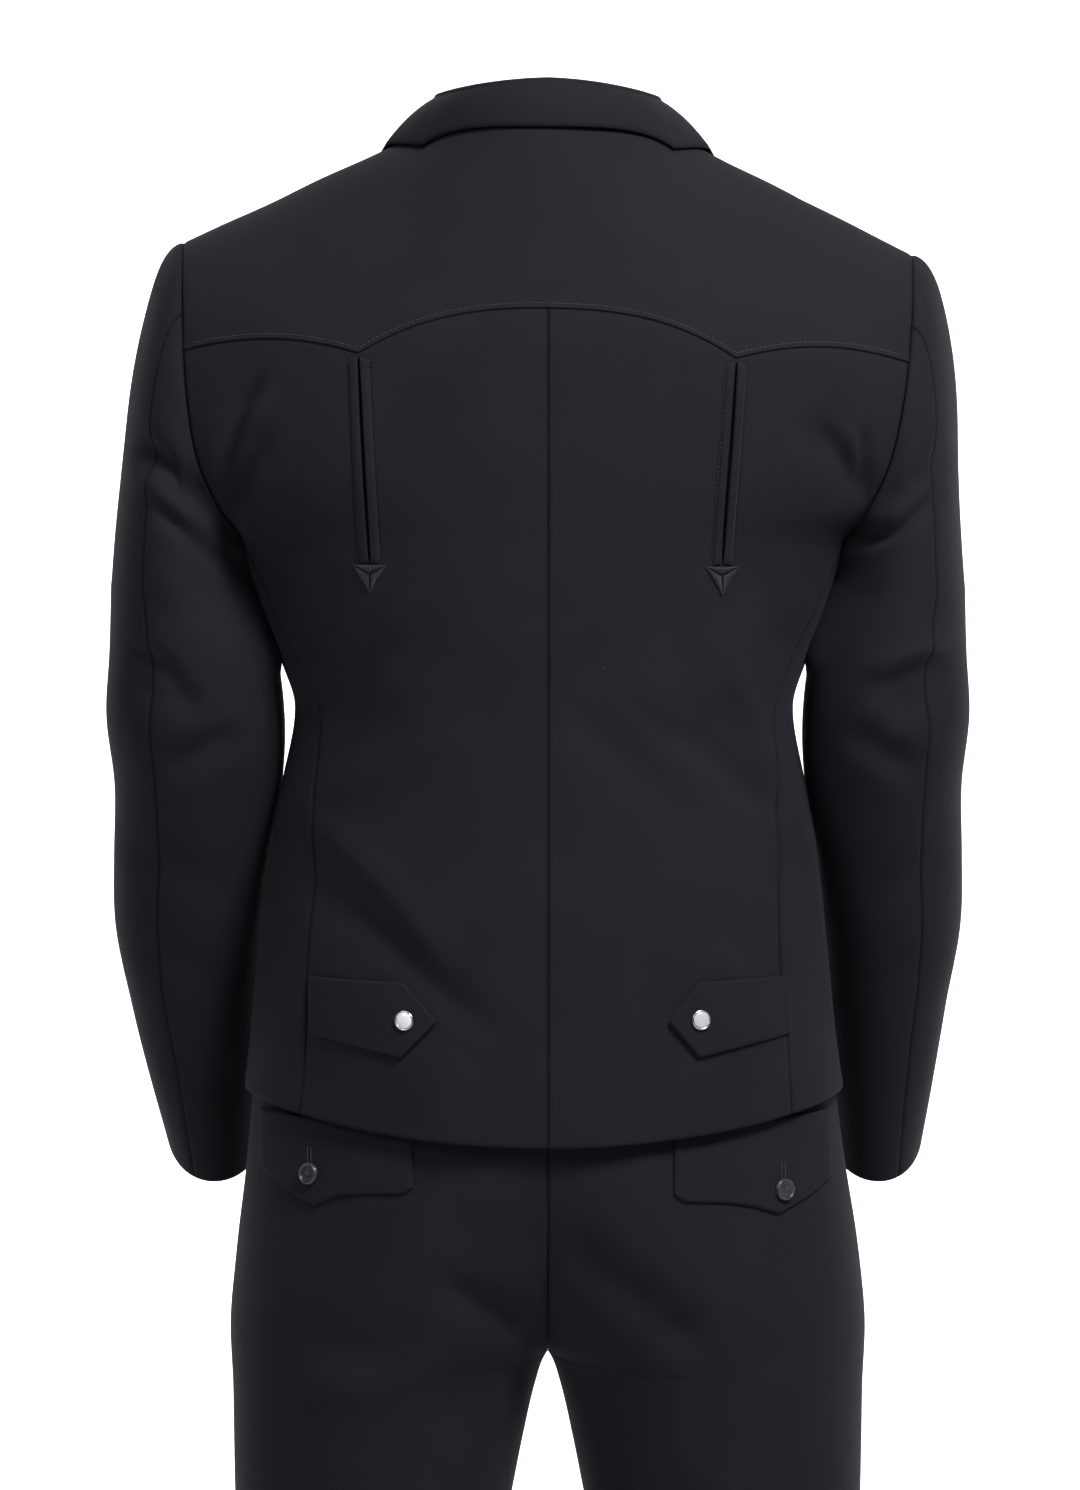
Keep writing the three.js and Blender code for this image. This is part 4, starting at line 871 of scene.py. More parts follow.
FRONT_OVERLAP, BREAK_T, ROLL_CURVE = 18, 0.76, 0.85
LAP_LIFT, LAP_FROM, LAP_TO = 3.6, 20, 60
FRONT_FOLDS = table(FOLD_NAMES,
    (60, -400, 160, -330, 20, -5, 0), (-60, -400, -160, -330, 20, -5, 0),
    (20, -430, 120, -470, 13, -2, 4), (-20, -430, -120, -470, 13, -2, -4),
    (150, -200, 190, -250, 9, -2.4, 3), (-150, -200, -190, -250, 9, -2.4, -3),
    (90, -520, 110, -630, 20, -2, 0), (-90, -520, -110, -630, 20, -2, 0))


def over_lap(p):
    return LAP_LIFT * (1 - ease((p[..., 0] - LAP_FROM) / (LAP_TO - LAP_FROM)))


def front_height(side):
    def height(p, u, t):
        folds = fold_depth(FRONT_FOLDS, SIDES[side] * p[..., 0], p[..., 2]) + drape(p[..., 0], p[..., 2])
        return folds * clear_of_armhole(u, t) + (over_lap(p) if side == "left" else 0)
    return height


def front_edge(t):
    """The share of the front's width where its inner edge lies, at a row."""
    low = np.minimum(t, BREAK_T)
    width = front_body(np.ones_like(low), low)[..., 0]
    bend = np.pi / 2 * (2 - read(SIDE_SEAMS, "front", low))
    lap = -np.arcsin(FRONT_OVERLAP * np.sin(bend) / width) / bend
    turned = np.clip((t - BREAK_T) / (2 - BREAK_T), 0, 1) ** ROLL_CURVE
    return np.where(t <= BREAK_T, lap, mix(lap, NECK_SHARE, turned))


fronts = {side: Cloth(front_body, 1, front_height(side)) for side in SIDES}
front_rows = np.concatenate([spaced(380, 4, True, False), 1 + spaced(260, 4, False, True)[1:]])[:, None]
front_columns = mix(front_edge(front_rows), 1, spaced(250, 4)[None, :])
for side in SIDES:
    pieces[f"front_{side}"] = panel(f"front_{side}_cloth", fronts[side], front_columns, front_rows,
                                    JACKET_WALL, mirror=side == "right", way_in=body_way_in(-1))

# ==== Lapels ======================================================================================
# The facing turned back along the break line, lying on the front up to the notch under the collar.

LAPEL_WALL, LAPEL_CLEAR, LAPEL_START, GORGE, LAPEL_WIDEST, LAPEL_SLANT = 2, 0.9, 1.04, 1.74, 78, 0.09


def lapel_height(side):
    def height(p, u, t):
        return LAPEL_CLEAR + LAPEL_WALL + (over_lap(p) if side == "left" else 0)
    return height


for side in SIDES:
    s = mix(0.03, 1, spaced(200, 4))[:, None]
    t0 = mix(LAPEL_START, GORGE - 0.012, s)
    k = spaced(70, 3.5)[None, :]
    reach = LAPEL_WIDEST * np.sin(s * np.pi / 2) ** 0.8 / front_body(np.ones_like(t0), t0)[..., 0]
    pieces[f"lapel_{side}"] = panel(f"lapel_{side}_cloth", Cloth(front_body, 1, lapel_height(side)),
                                    front_edge(t0) + reach * k, t0 - LAPEL_SLANT * k * s, LAPEL_WALL,
                                    mirror=side == "right", material=collar_wool)

# ==== Sleeves =====================================================================================
# Each is a top and an under sleeve with a seam behind the arm, eased into the armhole. The cloth
# breaks in short folds under the shoulder and inside the elbow.

FRONT_SEAM, HIND_SEAM = 115, 60
SLEEVE_FOLDS = {
    "left": table(FOLD_NAMES,
        (262, -355, 225, -372, 11, -6, 0), (262, -205, 228, -240, 11, -5, 0),
        (240, -415, 200, -395, 11, -5, 0), (254, -210, 214, -248, 8, -5, 2),
        (246, -249, 208, -281, 6, -5.5, 2), (256, -226, 214, -265, 7, 3.4, 2),
        (263, -339, 235, -356, 7, -3.4, 2), (268, -352, 238, -368, 7, 2.8, 2),
        (272, -470, 212, -500, 14, -2.6, 4), (262, -540, 214, -566, 13, -1.6, 4),
        (246, -620, 200, -640, 12, -1.4, 3), (270, -300, 236, -318, 12, -1.6, 3)),
    "right": table(FOLD_NAMES,
        (262, -355, 225, -372, 11, -6, 0), (262, -205, 228, -240, 11, -5, 0),
        (240, -415, 200, -395, 11, -5, 0), (209, -266, 250, -238, 5, -6, 3.5),
        (212, -252, 244, -228, 7, 3, 2), (217, -363, 263, -345, 7, -3.6, -2),
        (214, -350, 258, -334, 7, 3, -2), (212, -392, 262, -372, 9, -2.6, -2),
        (272, -480, 212, -505, 14, -2.6, 4), (262, -545, 214, -570, 13, -1.6, 4),
        (240, -300, 262, -318, 12, -1.5, 3)),
}


# Behind the arm's inner side the sleeve is pushed full against the body.
SNUG = {"full": 6.2, "angle": 162, "width": 13, "top": -258, "bottom": -366}


def sleeve_height(side):
    def height(p, angle, r):
        behind = np.sin(np.radians(angle))
        x, z = p[..., 0], p[..., 2]
        seen = fold_depth(SLEEVE_FOLDS[side], x, z) * np.maximum(0, behind)
        hidden = (fold_depth(SLEEVE_FOLDS[side], x + 6, z + 22) * np.maximum(0, -behind)
                  * 0.6 * ease((r - 0.3) / 0.6))
        snug = (SNUG["full"] * np.exp(-((either_way(angle) - SNUG["angle"]) / SNUG["width"]) ** 2)
                * ease((SNUG["top"] - z) / 20) * ease((z - SNUG["bottom"]) / 20))
        return (seen + hidden) * ease(r / 0.16) + snug + drape(x + 40, z) * ease(r / 0.3)
    return height


def sleeve_way_in(angle, r, inward):
    return np.where((r < 1e-6)[..., None], mitre(either_way(angle)), inward)


sleeve_rows = np.concatenate([spaced(190, CELL, True, False),
                              1 + spaced(430, CELL, False, True)[1:]])[:, None]
SLEEVE_SPANS = {"top": (-FRONT_SEAM, HIND_SEAM, 205), "under": (HIND_SEAM, 360 - FRONT_SEAM, 195)}
sleeves = {side: Cloth(sleeve_point, -1, sleeve_height(side), (0.2, 2e-3)) for side in SIDES}
for side in SIDES:
    for part, (start, end, length) in SLEEVE_SPANS.items():
        angle = mix(start, end, spaced(length, CELL)[None, :])
        name = f"{part}_sleeve_{side}"
        pieces[name] = panel(name + "_cloth", sleeves[side], angle, sleeve_rows, JACKET_WALL,
                             mirror=side == "right", way_in=sleeve_way_in)

# ==== Collar ======================================================================================
# A stand sewn to the neck seam, and a fall that folds over it and lies on the yoke.

COLLAR_WALL, COLLAR_POCKET, COLLAR_SEAT, COLLAR_SINK = 2.2, 0.8, 1.4, 0.6
STAND_BACK, STAND_SIDE, STAND_GORGE, COLLAR_LEAN = 23, 20.5, 2.5, 5.5
FALL_SIDE, FALL_GORGE, FALL_SLANT = 0.115, 0.25, 0.05
FALL_OUT_BACK, FALL_OUT_SIDE, FALL_TURN_Y = 4.5, 28, 1.8


def fall_behind(q):
    """Where the fall's edge lies on the yoke: an oval round the neck that widens towards the shoulders."""
    reach, angle = mix(FALL_OUT_BACK, FALL_OUT_SIDE, q ** 4), q * np.pi / 2
    x = (NECK_HALF + reach) * np.sin(angle)
    y = NECK_Y - FALL_TURN_Y * q ** 2 + (NECK_BACK + reach) * np.cos(angle)
    return back_plain.place(x, y, ((NECK_SHARE + FALL_SIDE) * q, 1.97), second=1)


def collar_section(q, behind_u, behind_row):
    up = np.array([0.0, 0.0, 1.0])
    behind, to_gorge = q <= 1, float(ease(q - 1))
    row = 2.0 if behind else mix(2, GORGE + 0.012, q - 1)
    seam_u = NECK_SHARE * q if behind else float(front_edge(np.array(row)))
    plain = back_plain if behind else front_plain
    seam_out = plain.out(np.array(seam_u), np.array(row - 0.003))
    seat = (plain.surface(seam_u, row) + seam_out * (COLLAR_SEAT + 1.2 * to_gorge)
            - up * COLLAR_SINK * (1 - to_gorge))
    ellipse = min(q, 1) * np.pi / 2
    level = unit(seam_out * np.array([1, 1, 0]))
    out = unit(mix(np.array([math.sin(ellipse), math.cos(ellipse), 0]), level, to_gorge))
    stand = mix(STAND_BACK, STAND_SIDE, q) if behind else mix(STAND_SIDE, STAND_GORGE, to_gorge)
    top = seat + up * stand - out * COLLAR_LEAN * (1 - to_gorge)
    fall_u = behind_u if behind else seam_u + mix(FALL_SIDE, FALL_GORGE, q - 1)
    fall_row = behind_row if behind else row + FALL_SLANT * to_gorge
    fall_out = plain.out(np.array(fall_u), np.array(min(fall_row, 1.997)))
    clear = COLLAR_WALL / 2 + 1.2 + (0 if behind else 2.4 * to_gorge)
    hem = plain.surface(fall_u, min(2, fall_row)) + fall_out * clear
    half = (COLLAR_WALL + COLLAR_POCKET) / 2
    shoulder = top + out * half - up * COLLAR_WALL
    bulge = mix(shoulder, hem, 0.35) + out * 5 * (1 - 0.6 * to_gorge) + up * 2 * (1 - to_gorge)
    stand_top = top - out * half - up * COLLAR_WALL
    line = [mix(seat, stand_top, s) for s in spaced(20, 2, True, False)[:-1]]
    for angle in np.linspace(0, np.pi, 9)[:-1]:
        line.append(top - up * COLLAR_WALL - out * half * math.cos(angle)
                    + up * COLLAR_WALL * math.sin(angle))
    for s in spaced(42, 2.2, False, True):
        line.append(shoulder * (1 - s) ** 2 + bulge * 2 * s * (1 - s) + hem * s * s)
    line = np.array(line)
    tangent = unit(np.gradient(line, axis=0))
    normal = unit(np.cross(np.cross(out, up), tangent))
    return line, normal


collar_q = mix(0, 2, spaced(330, 3.5, False, True))
half_line = [collar_section(*place) for place in zip(collar_q, *fall_behind(np.minimum(collar_q, 1)))]
middle_lines = np.array([line for line, _ in half_line])
middle_normals = np.array([normal for _, normal in half_line])
middle_lines, middle_normals = (np.concatenate([half[:0:-1] * mirrored(True), half])
                                for half in (middle_lines, middle_normals))
across, up = along_lines(middle_lines, 1), along_lines(middle_lines, 0)
ends = np.minimum(across, across[:, -1:] - across)
thick = middle_normals * (COLLAR_WALL / 2 * (1 - 0.45 * np.exp(-(ends / 1.2) ** 2))[..., None])
# Painted shade: the colour is darkened along the fall's hem, where it lies on the yoke.
hem_shade = 1 - 0.35 * np.exp(-(across[:, -1:] - across) ** 2 / 4)
pieces["collar"] = solid("collar_cloth", middle_lines + thick, middle_lines - thick, collar_wool,
                         np.stack([across, up], -1), hem_shade)

# ==== Slit welts and arrowhead tacks ==============================================================
# Two narrow folds of wool border each slit, edge-stitched down. An arrowhead of satin stitches, three
# fans of thread that meet in a Y, closes its foot.


def applied(name, cloth, x, z, guess, under, over, mirror=False):
    """A piece of wool laid on a cloth at widths and heights, between two heights above it."""
    a, b = cloth.place(*np.broadcast_arrays(x, z), guess)
    turned = mirrored(mirror)
    return solid(name, cloth.point(a, b, over) * turned, cloth.point(a, b, under) * turned, suit_wool)


def doubled(wall, edge, stitched):
    """Two layers of wool, thinner towards the turned edge and along its stitches."""
    rounded = wall * (0.35 + 0.65 * np.sqrt(1 - np.exp(-edge / 0.9)))
    return rounded - 0.3 * np.exp(-((edge - stitched) / 0.8) ** 2)


WELT_LENGTH = 131
welt_s = spaced(WELT_LENGTH, 2.5)[:, None]
welt_k = np.linspace(0, 1, 13)[None, :]
for side, sign in SIDES.items():
    for edge_name, edge in (("outer", 1), ("inner", -1)):
        z = mix(SLIT["top_z"], SLIT["foot_z"], welt_s)
        near = 0.35 + 0.75 * np.sin(np.pi * welt_s) ** 0.5
        off = edge * mix(near, SLIT["gap"] / 2 + SLIT["welt"], welt_k)
        x = sign * (mix(SLIT["top_x"], SLIT["foot_x"], welt_s) + off)
        z = z - 0.25 * off * edge
        roundness = np.sqrt(np.clip(1 - (2 * welt_k - 1) ** 4, 0, 1)) * (1 - 0.35 * welt_k)
        ends = 1 - 0.6 * np.exp(-(np.minimum(welt_s, 1 - welt_s) * WELT_LENGTH / 1.5) ** 2)
        name = f"slit_welt_{side}_{edge_name}"
        pieces[name] = applied(name + "_cloth", back_cloth, x, z, (sign * 0.52, 1.5), 0.3,
                               0.45 + 1.5 * roundness * ends)
        line_z = np.linspace(SLIT["top_z"] - 2, SLIT["foot_z"] + 2, 90)
        line_x = sign * (slit_x(line_z) + edge * (SLIT["gap"] / 2 + SLIT["welt"] + 0.3))
        name += "_stitches"
        pieces[name] = stitches(name, *on_back(line_x, line_z, 0.2), sewing_thread,
                                pitch=2.6, length=1.9, radius=0.26)

TACK_HALF, TACK_TOP, TACK_TIP, TACK_THREADS = 11, -281, -300, 19


def tack(name, middle):
    """Threads from each edge of a triangle run in to the arms of the Y at its middle."""
    corners = np.array([(middle - TACK_HALF, TACK_TOP), (middle + TACK_HALF, TACK_TOP),
                        (middle, TACK_TIP)], float)
    heart = corners.mean(0) + np.array([0, 0.6])
    s = ((np.arange(TACK_THREADS) + 0.5) / TACK_THREADS)[:, None]
    outer_ends, inner_ends = [], []
    for i in range(3):
        start, end = corners[i], corners[(i + 1) % 3]
        outer_ends.append(mix(start, end, s))
        inner_ends.append(np.where(s < 0.5, mix(start, heart, 2 * s), mix(heart, end, 2 * s - 1)))
    outer_ends, inner_ends = np.concatenate(outer_ends), np.concatenate(inner_ends)
    share = np.linspace(0, 1, 7)
    flat_lines = mix(outer_ends[:, None], inner_ends[:, None], 0.93 * share[None, :, None])
    length = np.linalg.norm(inner_ends - outer_ends, axis=-1)[:, None]
    rise = 0.5 + np.minimum(1.1, 0.3 * length) * np.sin(np.pi * np.clip(share, 0.02, 0.98)) ** 0.6
    place, out = on_back(flat_lines[..., 0], flat_lines[..., 1], rise)
    way = unit(place[:, -1:] - place[:, :1])
    aside = unit(np.cross(out, way))
    size = 0.46 * np.sqrt(np.clip(np.sin(np.pi * np.clip(share, 0.04, 0.96)), 0.05, 1))
    points = (place[:, :, None] + aside[:, :, None] * (size[:, None] * np.cos(STRAND_ANGLE))[..., None]
              + out[:, :, None] * (size[:, None] * np.sin(STRAND_ANGLE))[..., None])
    return strands_piece(name, points, tack_thread)


for side, sign in SIDES.items():
    pieces[f"arrow_tack_{side}"] = tack(f"arrow_tack_{side}_threads", sign * SLIT["foot_x"])

# ==== Back tabs and their snaps ===================================================================
# A short strap of doubled wool from each side seam, pointed and lifting a little at its free end,
# where a pearl snap in a thin bright rim holds it.

TAB = {"left": (151, 92, 71, 89.5), "right": (157, 97.5, 78, 97.5)}     # root, corner, tip, snap
TAB_TOP, TAB_ROOT_LOW, TAB_CORNER_LOW, TAB_TIP, TAB_WALL = -548, -585, -596, -572, 2.4
TAB_LIFT, TAB_TIP_LIFT, TAB_STITCH = 0.35, 2.2, 4.5


def tab_lift(side, x):
    root, _, tip, _ = TAB[side]
    return TAB_LIFT + (TAB_TIP_LIFT - TAB_LIFT) * ((root - x) / (root - tip)) ** 2


def tab(side, sign):
    root, corner, tip, _ = TAB[side]
    x = np.concatenate([mix(root, corner, spaced(root - corner, 2.2, True, False)),
                        mix(corner, tip, spaced(corner - tip, 1.2, False, True)[1:])])[:, None]
    strip = np.clip((root - x) / (root - corner), 0, 1)
    point = np.clip((corner - x) / (corner - tip), 0, 1)
    low = mix(mix(TAB_ROOT_LOW, TAB_CORNER_LOW, strip), TAB_TIP - 0.8, point)
    high = mix(TAB_TOP, TAB_TIP + 0.8, point)
    k = spaced(44, 2)[None, :]
    z = mix(low, high, k)
    edge = np.minimum(np.minimum(k, 1 - k) * (high - low), (x - tip) * 0.7)
    lift = tab_lift(side, x)
    return applied(f"back_tab_{side}_cloth", back_cloth, sign * x, z, (sign * root / 230, 1.2), lift,
                   lift + doubled(TAB_WALL, edge, TAB_STITCH))


def cap_finish(name, tone, glow):
    cap = Shader(name, Coat_Weight=0.6, Coat_Roughness=0.08, Specular_IOR_Level=0.6)
    swirl = cap.noise(260, 4.0)
    bands = cap.noise(90, 2.0)
    return cap.finish(Base_Color=cap.colour_mix(tone, glow, swirl * 0.6 + bands * 0.4),
                      Roughness=swirl * 0.1 + 0.12, Normal=cap.bump(bands, 0.0002, 0.2))


pearl = cap_finish("snap_pearl", (0.72, 0.71, 0.70, 1), (0.88, 0.88, 0.9, 1))
pearl_grey = cap_finish("snap_pearl_grey", (0.42, 0.43, 0.47, 1), (0.62, 0.62, 0.66, 1))
rim_metal = Shader("snap_rim", Metallic=1.0)
rim_tone = rim_metal.colour_mix((0.5, 0.5, 0.52, 1), (0.72, 0.72, 0.74, 1), rim_metal.noise(900))
rim_metal = rim_metal.finish(Base_Color=rim_tone, Roughness=rim_metal.noise(400) * 0.2 + 0.18)


def joined(name, parts):
    bpy.ops.object.select_all(action="DESELECT")
    for part in parts:
        part.select_set(True)
    bpy.context.view_layer.objects.active = parts[0]
    if len(parts) > 1:
        bpy.ops.object.join()
    bpy.ops.object.transform_apply(location=True, rotation=True, scale=True)
    parts[0].name = name
    bpy.ops.object.shade_smooth_by_angle(angle=math.radians(40))
    return parts[0]


def set_on(piece, place, out):
    """Turns a piece made on the origin, facing +Z, to face out from a place in millimetres."""
    out = np.asarray(out, float)
    side = unit(np.cross([0, 0, 1], out))
    rise = np.cross(out, side)
    turn = np.stack([side, rise, out], 1)
    count = len(piece.data.vertices)
    points = np.empty(count * 3)
    piece.data.vertices.foreach_get("co", points)
    points = points.reshape(-1, 3) @ turn.T + np.asarray(place) * 0.001
    piece.data.vertices.foreach_set("co", points.ravel())
    piece.data.update()
    return piece


def fasten(piece, cloth, x, z, guess, lift, flip=1):
    """Sets a snap or button on a cloth at a width and height, facing out."""
    a, b = cloth.place(np.array([float(x)]), np.array([float(z)]), guess)
    return set_on(piece, stance(cloth.point(a, b, lift) * flip)[0], (cloth.out(a, b) * flip)[0])


def round_plate(sides, radius, depth, bevel, lift, material):
    bpy.ops.mesh.primitive_cylinder_add(vertices=sides, radius=radius, depth=depth, location=(0, 0, lift))
    plate = bpy.context.object
    plate.data.materials.append(material)
    bpy.ops.object.modifier_add(type="BEVEL")
    plate.modifiers[0].width, plate.modifiers[0].segments = bevel, 3
    bpy.ops.object.modifier_apply(modifier=plate.modifiers[0].name)
    return plate


def round_rim(sides, radius, thickness, lift, material):
    bpy.ops.mesh.primitive_torus_add(major_segments=56, minor_segments=sides, major_radius=radius,
                                     minor_radius=thickness, location=(0, 0, lift))
    bpy.context.object.data.materials.append(material)
    return bpy.context.object


def snap(name, material):
    plate = round_plate(48, 0.0061, 0.0012, 0.0004, 0.0006, rim_metal)
    rim = round_rim(14, 0.0058, 0.00062, 0.0013, rim_metal)
    bpy.ops.mesh.primitive_uv_sphere_add(segments=48, ring_count=20, radius=0.0054, location=(0, 0, 0.0012))
    cap = bpy.context.object
    cap.scale = (1, 1, 0.3)
    cap.data.materials.append(material)
    return joined(name, [plate, rim, cap])


for side, sign in SIDES.items():
    pieces[f"back_tab_{side}"] = tab(side, sign)
    snap_x = TAB[side][3]
    pieces[f"tab_snap_{side}"] = fasten(
        snap(f"tab_snap_{side}_cap", pearl if side == "left" else pearl_grey), back_cloth, sign * snap_x,
        TAB_TIP, (0, 1.5), tab_lift(side, snap_x) + TAB_WALL + 0.1)

# ==== Front snaps =================================================================================
# Two pearl snaps hold the left front over the right.

for name, z in (("front_snap_upper", -385), ("front_snap_lower", -500)):
    pieces[name] = fasten(snap(name + "_cap", pearl), fronts["left"], 0.5, z, (0.001, 0.6), 0.35)

# ==== Trouser legs ================================================================================
# Each leg is a back and a front panel of the same wool, pressed to a crease. The seat is full, and
# folds run from the seat seam out under it.

TROUSER_WALL, CROTCH_Z, TROUSER_HEM_Z, TROUSER_TOP_Z, WAISTBAND_HEIGHT = 1.4, -806, -1600, -515, 38
LEG = table("z middle outer back front y",
    (TROUSER_HEM_Z, 139, 197, 78, 80, 4), (-1400, 138.5, 199, 70, 74, 0), (-1180, 138, 202, 74, 78, -4),
    (-1000, 124, 205, 90, 86, -2), (-897, 115, 207, 99, 92, 0), (-864, 112, 207.5, 103, 95, 0),
    (-827, 108, 208, 108, 99, 0), (CROTCH_Z, 104.5, 209, 111, 101, 0), (-791, 97, 209.5, 114, 102.5, 0),
    (-776, 90.5, 209, 117, 104, 0), (-755, 80, 207, 121, 106, 0), (-725, 61, 203.5, 124, 107, 0),
    (-680, 27, 197, 125.5, 108, 1), (-640, 0, 192.5, 124, 108, 2), (-600, 0, 188.6, 120, 106, 2),
    (-560, 0, 173, 113, 103, 2), (TROUSER_TOP_Z, 0, 152, 104, 99, 2),
    (TROUSER_TOP_Z + WAISTBAND_HEIGHT + 2, 0, 149, 102, 98, 2))
CREASE = {"top": -840, "full": -930, "rise": 5, "width": 9}
SEAT_FOLDS = table(FOLD_NAMES,
    (-3, -715, -92, -779, 17, -7, 0), (62, -745, 13, -776, 14, -4, 0), (150, -815, 80, -806, 14, 4, 0))
LEG_FOLDS = {
    "left": table(FOLD_NAMES,
        (62, -745, 14, -776, 9, -2, 0), (150, -780, 60, -835, 16, -2, 5),
        (170, -900, 110, -960, 20, -2, 4), (160, -1080, 100, -1130, 22, -3, 5),
        (180, -1190, 110, -1160, 20, -3, -4), (110, -1260, 170, -1300, 20, -2.5, 4),
        (100, -1540, 180, -1520, 16, -3, 4)),
    "right": table(FOLD_NAMES,
        (90, -772, 30, -812, 9, -2, 3), (150, -790, 84, -845, 14, -2, 4),
        (84, -800, 92, -880, 10, 1.6, 0), (165, -905, 105, -965, 20, -2, 4),
        (160, -1090, 100, -1140, 22, -3, 5), (180, -1200, 110, -1170, 20, -3, -4),
        (110, -1270, 170, -1310, 20, -2.5, 4), (100, -1545, 180, -1525, 16, -3, 4)),
}


def leg_point(face, k, z):
    """The left leg: k from the seat seam or inseam (0) to the outseam (1), at a level z."""
    k, z = np.broadcast_arrays(np.asarray(k, float), np.asarray(z, float))
    middle = np.maximum(0, read(LEG, "middle", z))
    half_x = read(LEG, "outer", z) - middle
    angle = np.arccos(-np.minimum(1, middle / half_x)) * (1 - k)
    pressed = (CREASE["rise"] * ease((CREASE["top"] - z) / (CREASE["top"] - CREASE["full"]))
               * np.exp(-(((np.degrees(angle) - 90) / CREASE["width"]) ** 2)))
    depth = (read(LEG, face, z) + pressed) * np.sin(angle)
    return at(middle + half_x * np.cos(angle), read(LEG, "y", z) + (depth if face == "back" else -depth), z)


def leg_height(side, face):
    def height(p, k, z):
        x = p[..., 0]
        fade = ease(k / 0.1) * ease((1 - k) / 0.08)
        own = fold_depth(LEG_FOLDS[side], x, p[..., 2]) * fade * (1 if face == "back" else 0.7)
        slow = drape(x + 30, p[..., 2] * 0.6) * fade * ease((-640 - p[..., 2]) / 40)
        if face == "front":
            return own * ease((-700 - p[..., 2]) / 60) + slow
        return fold_depth(SEAT_FOLDS, SIDES[side] * x, p[..., 2]) * ease(k / 0.1) + own + slow
    return height


legs = {(side, face): Cloth(lambda k, z, face=face: leg_point(face, k, z), -1 if face == "back" else 1,
                            leg_height(side, face), (2e-3, 0.8))
        for side in SIDES for face in ("back", "front")}
seen_rows = mix(-905, TROUSER_TOP_Z, spaced(390, 3.2, False, True))
unseen_rows = mix(TROUSER_HEM_Z, -905, spaced(695, 6.5, True, False))[:-1]
leg_z = np.concatenate([unseen_rows, seen_rows])[:, None]
leg_k = spaced(300, 3.6)[None, :]
for (side, face), cloth in legs.items():
    pieces[f"{face}_leg_{side}"] = panel(f"{face}_leg_{side}_cloth", cloth, leg_k, leg_z, TROUSER_WALL,
                                         mirror=side == "right", slant={"l": SEAM_SLANT_ASIDE},
                                         both_sides_meet=True)

# ==== Waistband, fly and waist button =============================================================
# A doubled strip round the waist, the stitched strip over the fly, and the horn button that closes it.

WAISTBAND_WALL, WAISTBAND_OUT, WAIST_BUTTON_X = 2.6, 0.6, 9


def around(s, z):
    s, z = np.broadcast_arrays(np.asarray(s, float), np.asarray(z, float))
    behind, ahead = leg_point("back", np.minimum(s, 1), z), leg_point("front", 2 - np.maximum(s, 1), z)
    return np.where((s < 1)[..., None], behind, ahead)


def band_height(p, s, z):
    return np.full(p.shape[:-1], WAISTBAND_OUT)


band = Cloth(around, -1, band_height, (2e-3, 0.8))
band_s = 2 * spaced(420, 5)[None, :]
band_z = mix(TROUSER_TOP_Z + 0.3, TROUSER_TOP_Z + WAISTBAND_HEIGHT, spaced(WAISTBAND_HEIGHT, 3))[:, None]
for side in SIDES:
    pieces[f"waistband_{side}"] = panel(f"waistband_{side}_cloth", band, band_s, band_z, WAISTBAND_WALL,
                                        mirror=side == "right")

FLY_WIDTH, FLY_LENGTH, FLY_BOTTOM, FLY_WALL, FLY_START, FLY_LIFT = 38, 152, -668, 1.4, 0.6, 0.4
fly_s = spaced(FLY_LENGTH, 3)[:, None]
fly_k = spaced(FLY_WIDTH, 2.5)[None, :]
fly_z = mix(TROUSER_TOP_Z - 2, FLY_BOTTOM, fly_s)
fly_half = np.where(fly_s < 0.82, 1, 0.45 + 0.55 * np.sqrt(np.clip(1 - ((fly_s - 0.82) / 0.18) ** 2, 0, 1)))
fly_x = FLY_START + (FLY_WIDTH - FLY_START) * fly_k * fly_half
fly_edge = np.minimum(np.minimum(fly_k, 1 - fly_k) * FLY_WIDTH, (1 - fly_s) * FLY_LENGTH)
fly_wall = FLY_WALL * (0.4 + 0.6 * np.sqrt(1 - np.exp(-fly_edge / 0.8)))
pieces["trouser_fly"] = applied("trouser_fly_cloth", legs["left", "front"], fly_x, fly_z, (0.1, -600),
                                FLY_LIFT, FLY_LIFT + fly_wall)

horn = Shader("button_horn", Coat_Weight=0.4, Coat_Roughness=0.2, Specular_IOR_Level=0.55)
horn_streaks = horn.noise(160, 5.0)
horn_fine = horn.noise(900, 2.0)
horn_tone = horn.colour_mix((0.016, 0.017, 0.02, 1), (0.085, 0.09, 0.1, 1), horn_streaks ** 2.0)
horn = horn.finish(Base_Color=horn_tone, Roughness=horn_fine * 0.12 + 0.22,
                   Normal=horn.bump(horn_fine, 0.0001, 0.15))


BUTTON_HOLE = 0.0017    # metres from a button's middle to its holes


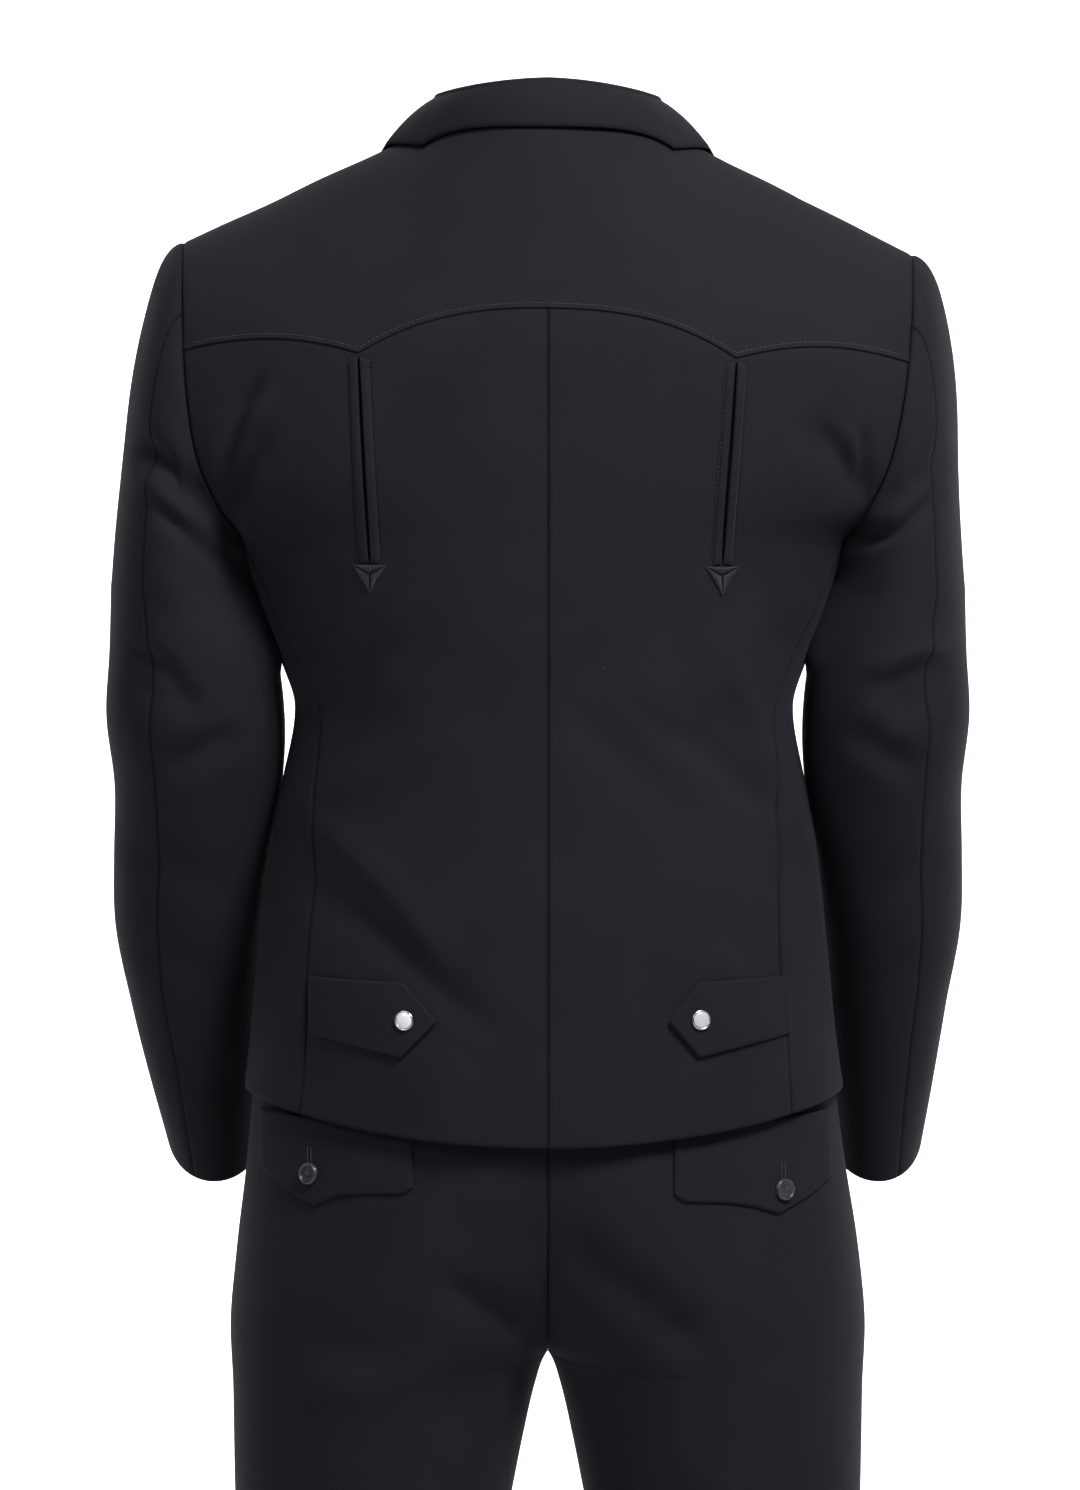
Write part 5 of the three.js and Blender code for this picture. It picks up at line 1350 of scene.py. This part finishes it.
def button(name):
    """A four-hole button: a dished disc with a raised rim and crossed threads."""
    disc = round_plate(56, 0.0071, 0.0022, 0.0006, 0.0012, horn)
    cutters = []
    for i in range(4):
        turn = math.pi / 4 + i * math.pi / 2
        bpy.ops.mesh.primitive_cylinder_add(vertices=16, radius=0.00075, depth=0.01,
                                            location=(BUTTON_HOLE * math.cos(turn),
                                                      BUTTON_HOLE * math.sin(turn), 0.001))
        cutters.append(bpy.context.object)
    cutter = joined("button_cutter", cutters)
    bpy.context.view_layer.objects.active = disc
    bpy.ops.object.modifier_add(type="BOOLEAN")
    holes = disc.modifiers[0]
    holes.operation, holes.object, holes.solver = "DIFFERENCE", cutter, "EXACT"
    bpy.ops.object.modifier_apply(modifier=holes.name)
    bpy.data.objects.remove(cutter)
    rim = round_rim(12, 0.0061, 0.00085, 0.0022, horn)
    threads = []
    for turn in (math.pi / 4, 3 * math.pi / 4):
        for off in (-0.0003, 0.0003):
            bpy.ops.mesh.primitive_cylinder_add(vertices=10, radius=0.00034, depth=0.0036,
                                                location=(-off * math.sin(turn), off * math.cos(turn),
                                                          0.00245))
            strand = bpy.context.object
            strand.rotation_euler = (math.pi / 2, 0, turn + math.pi / 2)
            strand.data.materials.append(sewing_thread)
            threads.append(strand)
    return joined(name, [disc, rim] + threads)


pieces["waist_button"] = fasten(button("waist_button_horn"), band, WAIST_BUTTON_X,
                                TROUSER_TOP_Z + WAISTBAND_HEIGHT / 2, (1.97, -500), 0.1)

# ==== Back pocket flaps ===========================================================================
# Each flap hangs from its pocket under the jacket's hem to a blunt point, where a horn button goes
# through a vertical buttonhole.

FLAP = {
    "left": table("x low", (86, -680), (92, -684), (118, -685.5), (134, -688), (150, -696), (167, -688),
                  (184, -676)),
    "right": table("x low", (81, -684), (88, -689), (115, -691), (132, -694.5), (148.6, -701), (169, -692),
                   (184, -682)),
}
FLAP_TOP, FLAP_WALL, FLAP_LIFT, FLAP_FLARE, FLAP_STITCH = -640, 2.2, 0.4, 0.8, 5
FLAP_GUESS, BUTTON_X, HOLE_POINTS = (0.6, -660), 151, 60
BUTTON_Z = {"left": -676, "right": -686}
for side in SIDES:
    rows = FLAP[side]
    cloth = legs[side, "back"]
    width = rows["x"][-1] - rows["x"][0]
    s = spaced(width, 2)[:, None]
    x = mix(rows["x"][0], rows["x"][-1], s)
    low = np.interp(x, rows["x"], rows["low"])
    k = spaced(46, 2.2, True, False)[None, :]
    z = mix(low, FLAP_TOP, k)
    edge = np.minimum(k * (FLAP_TOP - low), np.minimum(s, 1 - s) * width)
    lift = FLAP_LIFT + FLAP_FLARE * s * s
    pieces[f"pocket_flap_{side}"] = applied(f"pocket_flap_{side}_cloth", cloth, x, z, FLAP_GUESS, lift,
                                            lift + doubled(FLAP_WALL, edge, FLAP_STITCH),
                                            mirror=side == "right")
    turned = mirrored(side == "right")
    rise = FLAP_LIFT + FLAP_FLARE * ((BUTTON_X - rows["x"][0]) / width) ** 2 + FLAP_WALL
    pieces[f"flap_button_{side}"] = fasten(button(f"flap_button_{side}_horn"), cloth, BUTTON_X,
                                           BUTTON_Z[side], FLAP_GUESS, rise + 0.1, turned)
    hole_z = np.linspace(BUTTON_Z[side] - 1, BUTTON_Z[side] + 17, HOLE_POINTS)
    for row, off in (("outer", 1.1), ("inner", -1.1)):
        k_at, z_at = cloth.place(np.full(HOLE_POINTS, BUTTON_X + off), hole_z, FLAP_GUESS)
        name = f"buttonhole_{side}_{row}"
        pieces[name] = stitches(name, cloth.point(k_at, z_at, rise) * turned,
                                cloth.out(k_at, z_at) * turned, sewing_thread,
                                pitch=0.62, length=0.9, radius=0.3, sink=0.05)

# ==== Pieces and nodes ============================================================================
# Each piece is attached to the root; where model.json lists a node of its name, the piece stands for it and
# that part of model.glb is hidden.

slots = {row["node"]: row["material_slot"] for row in frame["record"]["subparts"]}
for name, piece in pieces.items():
    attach(piece, "root")
    if name in slots:
        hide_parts(name)
